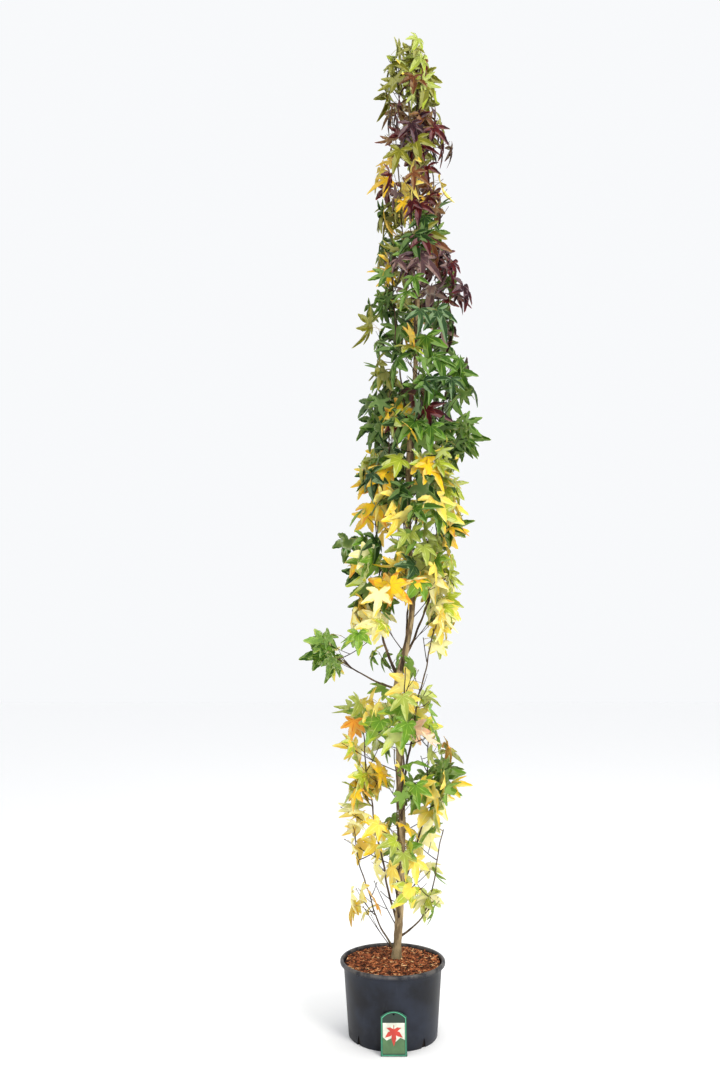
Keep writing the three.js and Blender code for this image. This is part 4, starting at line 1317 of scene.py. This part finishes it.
def in_space(mass, corners):
    """For tries by corners: how far the furthest corner goes as a share of the crown's reach,
    how high the highest is, and whether all of them keep to the mass's space."""
    heights = corners[..., 2]
    right, back = trunk_at(heights)
    x, y = corners[..., 0] - right, corners[..., 1] - back
    half = LEADER_HALF_DEGREES if mass["leads"] else SECTOR_DEGREES / 2
    highest = min(mass["ceiling"] + SPACES_LAP, TREE_TOP - BELOW_TOP)
    keeps = (heights > mass["floor"] - SPACES_LAP) & (heights < highest)
    for side in (-1, 1):
        edge_degrees = mass["middle"] + side * half
        phase = math.radians(edge_degrees)
        wave = SECTOR_WAVE_DEGREES * np.sin(2 * np.pi * heights / SECTOR_WAVE_LENGTH + phase)
        edge = np.radians(edge_degrees + wave)
        keeps &= side * (np.sin(edge) * x - np.cos(edge) * y) > -SPACES_LAP
    share = np.hypot(x, y) / crown_reach(heights, np.arctan2(y, x))
    return share.max(axis=-1), heights.max(axis=-1), keeps.all(axis=-1)


# What each leaf is after: the share of the crown's reach that its furthest corner comes to, how
# many degrees it is lifted and how many it may turn from the way its twig points. The leader's
# leaves are after height instead of reach.
LEADER_LEAF = {"lift": 40, "spread": 220}
TOP_LEAF = {"share": 0.88, "lift": 22, "spread": 200}
OUTER_LEAF = {"share": 1.0, "lift": 8, "spread": 70}
TIP_LEAF = {"share": 0.93, "lift": 0, "spread": 170}
SIDE_LEAF = {"share": 0.84, "lift": -4, "spread": 190}
INNER_LEAF = {"share": 0.62, "lift": -8, "spread": 240}
BLADE_RISE_DEGREES = (-80, 92)
BLADE_ASIDE_DEGREES = 50  # between the way of a blade and that of its stalk
STALK_RISE_SHARE = 0.3  # of its blade's rise
STALK_LIFT_DEGREES = 24
STALK_BENDS_AT = 0.6
STALK_ARCHES = 0.16  # of its length
STALK_INTO_BLADE = 2
STALK_RADII = [1.25, 0.85, 0.8, 0.8, 0.95]
STALK_SIDES = 4
FACE_TURNS_DEGREES = 280
FACE_LIFT = (0.15, 0.6)
BLADE_BROAD = (0.86, 0.28)
BLADE_FOLD = (0.18, 0.3)
BLADE_DROOP = (0.12, 0.42)
BLADE_TWIST = 0.5
BLADE_CUP = 0.25
OUTLINE_PULL = 3  # what a blade's miss of its share of the reach weighs against its room
HEIGHT_MISS = 400  # below the tree's top, that weighs as much as a miss of the whole reach
ROOMY = 95  # a blade that is this far from the next one is as well placed as it can be
JOINT_SHARE = 0.34  # of a blade's width, from its joint to its middle


def leaf_tries(spot, stalk, random):
    """Tries at hanging a leaf from a spot: where its blade joins its stalk, the way that the
    blade points and the way across it."""
    draws = np.array([[random() for _ in range(DRAWS_PER_TRY)] for _ in range(LEAF_TRIES)])
    turned, risen, faced, lifted, aside = draws.T
    turn = spot.degrees + spot.wants["spread"] * (turned - 0.5)
    rise = BLADE_RISE_DEGREES[0] + BLADE_RISE_DEGREES[1] * risen + spot.wants["lift"]
    towards = heading(turn + BLADE_ASIDE_DEGREES * (aside - 0.5), rise)
    joint = spot.place + heading(turn, rise * STALK_RISE_SHARE + STALK_LIFT_DEGREES) * stalk
    face = heading(spot.degrees + FACE_TURNS_DEGREES * (faced - 0.5), 0)
    face[:, 2] = FACE_LIFT[0] + FACE_LIFT[1] * lifted
    return joint, towards, unit(np.cross(towards, face))


def drawbacks(mass, wants, lobe_tips, middle, middles):
    """What is against each try: its miss of what the leaf is after, less the room that it has."""
    furthest, highest, keeps = in_space(mass, lobe_tips)
    if "share" in wants:
        missed = np.abs(furthest - wants["share"])
    else:
        missed = (TREE_TOP - highest) / HEIGHT_MISS
    room = np.full(LEAF_TRIES, float(ROOMY))
    if middles:
        gaps = np.linalg.norm(middle[:, None] - np.array(middles)[None], axis=2).min(axis=1)
        room = np.minimum(gaps, ROOMY)
    return np.where(keeps & (furthest <= 1), missed * OUTLINE_PULL - room / ROOMY, np.inf)


def grow_leaf(mass, random, spot, middles):
    """One leaf: the best of many tries at hanging it from its spot, where one keeps to its space."""
    place = spot.place
    width, broad = (np.interp(place[2], BLADES[:, 0], BLADES[:, column]) for column in (1, 2))
    width *= 1 + LEAF_WIDTH_VARIES * (2 * random() - 1)
    stalk = width * STALK_SHARE * drawn(random, *STALK_VARIES)
    joint, towards, across = leaf_tries(spot, stalk, random)
    lobe_tips = (
        joint[:, None]
        + LOBE_TIPS[None, :, :1] * width * across[:, None]
        + LOBE_TIPS[None, :, 1:] * width * towards[:, None]
    )
    middle = joint + towards * width * JOINT_SHARE
    drawback = drawbacks(mass, spot.wants, lobe_tips, middle, middles)
    best = int(np.argmin(drawback))
    if np.isinf(drawback[best]):
        return None
    middles.append(middle[best])
    shape = (
        broad * drawn(random, *BLADE_BROAD),
        drawn(random, *BLADE_FOLD),
        drawn(random, *BLADE_DROOP),
        BLADE_TWIST * (random() - 0.5),
        BLADE_CUP * random(),
    )
    bend = place + (joint[best] - place) * STALK_BENDS_AT + np.array([0, 0, stalk * STALK_ARCHES])
    return {
        "joint": joint[best],
        "stand": (across[best], towards[best], np.cross(across[best], towards[best])),
        "width": width,
        "shape": shape,
        "stalk": (place, bend, joint[best]),
    }


# ---------------------------------------------------------------- twigs and sprays

TWIG_ROWS = 7
BEFORE_END = 0.97
BUD_PLACES = [-0.4, 1.6, 4, 6.4]  # along its line, from the end of its twig
BUD_RADII_SHARES = [1, 1.9, 1.5]  # of the twig's at its tip
BUD_TIP_RADIUS = 0.2
BUD_SIDES = 5
LEAFINESS_READINGS = 9


def grow_twigs(mass, stem, random):
    """The twigs leave the stem in turn to one side and the other, and rise towards the outline."""
    count = max(LEAST_TWIGS, round(mass["leaves"] / LEAVES_PER_TWIG + ROUNDS_HALVES_UP) - 1)
    twigs = []
    for index in range(count):
        share = FIRST_TWIG_SHARE + TWIGS_SPAN_SHARE * (index + FIRST_TWIG_STEP) / count
        foot = stem.at(share)
        turn = (((FIRST_TWIG_STEP + index * GOLDEN_SHARE) % 1) * 2 - 1) * TWIG_TURNS_DEGREES
        degrees = mass["middle"] + turn + (turn if mass["leads"] else 0)
        height = min(foot[2] + drawn(random, *TWIG_CLIMB), mass["ceiling"] - HEADROOM / 2)
        reach = float(crown_reach(height, math.radians(degrees)))
        room = SOURCE_LEAF_WIDTH * drawn(random, *LEAF_ROOM_SHARE)
        tip = place_at(degrees, max(reach - room, reach * LEAST_TWIG_SHARE), height)
        twigs.append((sagging(foot, tip), degrees))
    return twigs


def sagging(foot, tip):
    return arch(foot, (foot + tip) / 2 - [0, 0, TWIG_SAG], tip)


def grow_shoots(mass, way, degrees, shares, random, first_side=1):
    """Finer shoots off a twig or stem, to each side in turn, that stop short of the outline."""
    shoots = []
    for index, share in enumerate(shares):
        side = first_side * (1 if index % 2 else -1)
        turn = degrees + side * drawn(random, *SHOOT_TURN_DEGREES)
        length = drawn(random, *SHOOT_LENGTH)
        foot = way.at(share)
        rise = drawn(random, *SHOOT_RISE_DEGREES)
        for shorter in SHOOT_LENGTH_TRIES:
            tip = foot + heading(turn, rise) * length * shorter
            furthest, _, keeps = in_space(mass, tip[None])
            if keeps and furthest < SHOOTS_REACH:
                bend = (foot + tip) / 2 + heading(turn, SHOOT_BEND_DEGREES) * SHOOT_BEND
                shoots.append((arch(foot, bend, tip, SHOOT_POINTS), turn))
                break
    return shoots


def tint_for(place, random):
    """One of the tints that grow at a height, on the side of the trunk where the place is."""
    height = place[2] + TINT_BANDS_BLUR * (2 * random() - 1)
    row = next((row for row in TINTS_BELOW if row[0] >= height), TINTS_BELOW[-1])
    to_right = place[0] > trunk_at(place[2])[0] + TINT_SIDES_BLUR * (random() - 0.5)
    choices = row[2 if to_right else 1].split()
    return choices[int(random() * len(choices))]


def low_twigs(mass, stem, random):
    """Twigs at the foot of a stem, and those that leave the trunk for the same space."""
    twigs = []
    for side, share in zip((-1, 1), LOW_TWIG_SHARES):
        foot = stem.at(share)
        degrees = mass["middle"] + side * LOW_TWIG_TURN
        height = foot[2] + drawn(random, *LOW_TWIG_CLIMB)
        out = float(crown_reach(height, math.radians(degrees))) * LOW_TWIG_REACH
        twigs.append((sagging(foot, place_at(degrees, out, height)), degrees))
    for name, height, degrees, out, rise in TRUNK_TWIGS:
        if name == mass["name"]:
            foot = place_at(degrees, TRUNK_TWIG_STARTS, height)
            twigs.append((sagging(foot, place_at(degrees, out, height + rise)), degrees))
    return twigs


class Spot:
    """Where a leaf may grow: on which limb and how far along it, towards which bearing."""

    def __init__(self, limb, share, degrees, wants, bears):
        self.limb = limb
        self.place = limb.at(share)
        self.degrees = degrees
        self.wants = wants
        self.bears = bears  # a shoot that is only made where it bears a leaf


# Where leaves may grow on a limb: the share of its length, the degrees that they turn aside
# from it, and what they are after.
STEM_END = [(0.985, 0), (0.985, 120), (0.985, -120)]
STEM_SHOOT_ROWS = [(0.98, 0, TIP_LEAF), (0.9, 70, SIDE_LEAF), (0.5, -60, INNER_LEAF)]
TWIG_END_ROWS = [(0.985, 0, OUTER_LEAF)]
TWIG_BY_END_ROWS = [(0.97, 70, TIP_LEAF)]
TWIG_SIDE_ROWS = [(0.8, -60, SIDE_LEAF), (0.55, 60, SIDE_LEAF), (0.35, -40, INNER_LEAF)]
TWIG_SHOOT_END_ROWS = ([(0.98, 0, OUTER_LEAF)], [(0.98, 0, TIP_LEAF)], [(0.98, 0, OUTER_LEAF)])
TWIG_SHOOT_SIDE_ROWS = [(0.95, 60, TIP_LEAF), (0.6, -50, SIDE_LEAF)]


def spots_on(limb, degrees, rows, bears=False):
    return [Spot(limb, share, degrees + aside, wants, bears) for share, aside, wants in rows]


def stem_spots(mass, stem, random):
    """Where leaves may grow on a stem and on the shoots that leave it."""
    middle = mass["middle"]
    end_leaf = LEADER_LEAF if mass["leads"] else TOP_LEAF
    spots = spots_on(stem, middle, [(*row, end_leaf) for row in STEM_END])
    for shoot, turn in grow_shoots(mass, stem, middle, STEM_SHOOT_SHARES, random):
        spots += spots_on(shoot, turn, STEM_SHOOT_ROWS, bears=True)
    for step in range(STEM_LEAVES):
        aside = STEM_LEAVES_SPREAD_DEGREES * (((step * GOLDEN_SHARE) % 1) - 0.5)
        share = FIRST_TWIG_SHARE + TWIGS_SPAN_SHARE * ((step * GOLDEN_SHARE + 0.5) % 1)
        spots += spots_on(stem, middle, [(share, aside, INNER_LEAF)])
    return spots


def twig_spots(mass, way, degrees, first_side, random):
    """Where leaves may grow on a twig and on the shoots that leave it, outermost first."""
    shoots = grow_shoots(mass, way, degrees, TWIG_SHOOT_SHARES, random, first_side)
    spots = spots_on(way, degrees, TWIG_END_ROWS)
    for (shoot, turn), rows in zip(shoots, TWIG_SHOOT_END_ROWS):
        spots += spots_on(shoot, turn, rows, bears=True)
    spots += spots_on(way, degrees, TWIG_BY_END_ROWS)
    for shoot, turn in shoots:
        spots += spots_on(shoot, turn, TWIG_SHOOT_SIDE_ROWS, bears=True)
    return spots + spots_on(way, degrees, TWIG_SIDE_ROWS)


def leafiness(height):
    return np.interp(height, LEAFINESS[:, 0], LEAFINESS[:, 1])


def dress(mass, seed, middles):
    """One mass: a heap of its twigs and finer shoots, a heap of its leaves, and their count."""
    random = seeded(seed)
    stem = flow(limb_line(mass), 0 if mass["leads"] else BOUGH_END, 1)
    twigs = grow_twigs(mass, stem, random)
    if not mass["leads"]:
        twigs = low_twigs(mass, stem, random) + twigs
    wood = Heap()
    sprays = [stem_spots(mass, stem, random)]
    for index, (way, degrees) in enumerate(twigs):
        add_wood(wood, way, **TWIG)
        sprays.append(twig_spots(mass, way, degrees, 1 if index % 2 else -1, random))
    middling = leafiness(np.linspace(mass["floor"], mass["ceiling"], LEAFINESS_READINGS)).mean()
    wanted = round(mass["leaves"] * LEAVES_PER_SOURCE_LEAF * middling)
    tints = [tint_for(spray[0].place, random) for spray in sprays]
    blades = Heap()
    borne = []
    grown = 0
    for depth in range(max(len(spray) for spray in sprays)):
        for spray, tint in zip(sprays, tints):
            if depth >= len(spray) or grown >= wanted or random() > leafiness(spray[depth].place[2]):
                continue
            spot = spray[depth]
            leaf = grow_leaf(mass, random, spot, middles)
            if leaf is None:
                continue
            if spot.bears and spot.limb not in borne:
                add_wood(wood, spot.limb, **SHOOT)
                borne.append(spot.limb)
            own = tint if random() < SPRAY_KEEPS_TINT else tint_for(leaf["joint"], random)
            add_leaf(blades, leaf, own, random)
            grown += 1
    return wood, blades, grown


def add_wood(wood, way, radius, tip_radius, sides):
    """A twig or shoot, and the bud at its end."""
    shares = np.linspace(0, 1, TWIG_ROWS)
    wood.add(*stick(way.at(shares), part_way(radius, tip_radius, shares), sides), "twig")
    end = way.at(1.0)
    places = end + np.outer(BUD_PLACES, unit(end - way.at(BEFORE_END)))
    swollen = [tip_radius * share for share in BUD_RADII_SHARES]
    wood.add(*stick(places, [*swollen, BUD_TIP_RADIUS], BUD_SIDES), "bud")


def add_leaf(blades, leaf, tint, random):
    """A blade in its tint, with its tips or heart in the next one where it is turning."""
    following = TINTS[tint][-1]
    finishes = {
        "face": f"{tint}_face",
        "tip": f"{following if random() < TIPS_TURN else tint}_face",
        "heart": f"{following if random() < HEART_TURNS else tint}_face",
        "vein": f"{tint}_vein",
        "under": f"{tint}_under",
    }
    blades.add(blade_corners(leaf), BLADE_FACES, [finishes[kind] for kind in BLADE_KINDS])
    start, bend, end = leaf["stalk"]
    line = arch(start, bend, end + leaf["stand"][1] * STALK_INTO_BLADE, len(STALK_RADII))
    blades.add(*stick(line.points, STALK_RADII, STALK_SIDES), "stalk")


def foliage(masses):
    wood_finishes = {
        "twig": grained_finish("twig_bark", *TWIG_TONES, roughness=0.7, grain_scale=90),
        "bud": Finish("bud_scale", BUD_TONE, roughness=0.4).material,
    }
    leaf_finishes = blade_finishes()
    middles = []
    total = 0
    for index, mass in enumerate(masses):
        seed = FIRST_SEED + index + mass["again"] * len(masses)
        wood, blades, grown = dress(mass, seed, middles)
        total += grown
        twigs = wood.piece(f"twigs_{mass['name']}", wood_finishes)
        leaves = blades.piece(f"leaves_{mass['name']}", leaf_finishes)
        for piece in (twigs, leaves):
            settle(piece, piece.name, smooth_degrees=42)
            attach(piece, BODY)
            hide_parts(f"foliage_{mass['name']}")
    print("leaves grown:", total)


# ---------------------------------------------------------------- stage, light and camera

FLOOR_SIZE = 60
SKY_COLOUR = (0.975, 0.985, 1.0, 1)
SKY_STRENGTH = 0.97
# Each lamp's name, place, target, size, power and colour.
LAMPS = [
    ("key", (3.4, -4.8, 4.6), (0.05, 0, 2.2), 2.4, 250, (1.0, 0.97, 0.92)),
    ("fill", (-1.4, -5.6, 1.4), (0, 0, 1.3), 3.0, 56, (1.0, 0.99, 0.97)),
    ("top", (0.9, 0.6, 7.2), (0, 0, 2.5), 2.0, 60, (1.0, 1.0, 1.0)),
]
GAMMA = 0.9
CAMERA_PLACE = (-0.136, -3.95, 1.523)
CAMERA_TILT_DEGREES = 7.65
CAMERA_LENS = 30
CAMERA_SENSOR = 36
CAMERA_SEES_TO = 100


def stage_and_light():
    let_go()
    bpy.ops.mesh.primitive_plane_add(size=FLOOR_SIZE)
    floor = bpy.context.object
    floor.name = "studio_floor"
    floor.data.materials.append(Finish("studio_floor", FLOOR_TONE, roughness=0.8).material)
    world = bpy.data.worlds.new("studio")
    world.use_nodes = True
    sky = world.node_tree.nodes["Background"]
    sky.inputs["Color"].default_value = SKY_COLOUR
    sky.inputs["Strength"].default_value = SKY_STRENGTH
    bpy.context.scene.world = world
    for name, place, target, size, power, colour in LAMPS:
        bpy.ops.object.light_add(type="AREA", location=place)
        lamp = bpy.context.object
        lamp.name = name
        lamp.data.size = size
        lamp.data.energy = power
        lamp.data.color = colour
        way = np.array(target) - np.array(place)
        across = math.atan2(way[1], way[0])
        down = math.atan2(-way[2], math.hypot(way[0], way[1]))
        lamp.rotation_euler = (math.pi / 2 - down, 0, across - math.pi / 2)
    bpy.context.scene.view_settings.view_transform = "Standard"
    bpy.context.scene.view_settings.gamma = GAMMA


def camera():
    bpy.ops.object.camera_add(location=CAMERA_PLACE)
    made = bpy.context.object
    made.name = "camera"
    made.rotation_euler = (math.radians(90 + CAMERA_TILT_DEGREES), 0, 0)
    made.data.lens = CAMERA_LENS
    made.data.sensor_width = CAMERA_SENSOR
    made.data.sensor_fit = "AUTO"
    made.data.clip_end = CAMERA_SEES_TO
    bpy.context.scene.camera = made


# ---------------------------------------------------------------- assembly

masses = [dict(zip(MASS_COLUMNS, row)) for row in MASS_ROWS]
for mass in masses:
    mass["leads"] = mass["name"].startswith("leader")
    sector = round(mass["facing"] / SECTOR_DEGREES)
    mass["middle"] = mass["facing"] if mass["leads"] else sector * SECTOR_DEGREES

# The potting mix's finish is darkened as painted shade inside the drainage notches.
potting_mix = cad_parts["potting_mix"].data.materials
potting_mix.clear()
potting_mix.append(crumbly_finish("potting_mix", *MIX_CRUMBS_DARKENED_AS_SHADE))
nursery_pot()
mulch()
plant_label()
trunk(masses)
boughs(masses)
foliage(masses)
stage_and_light()
camera()
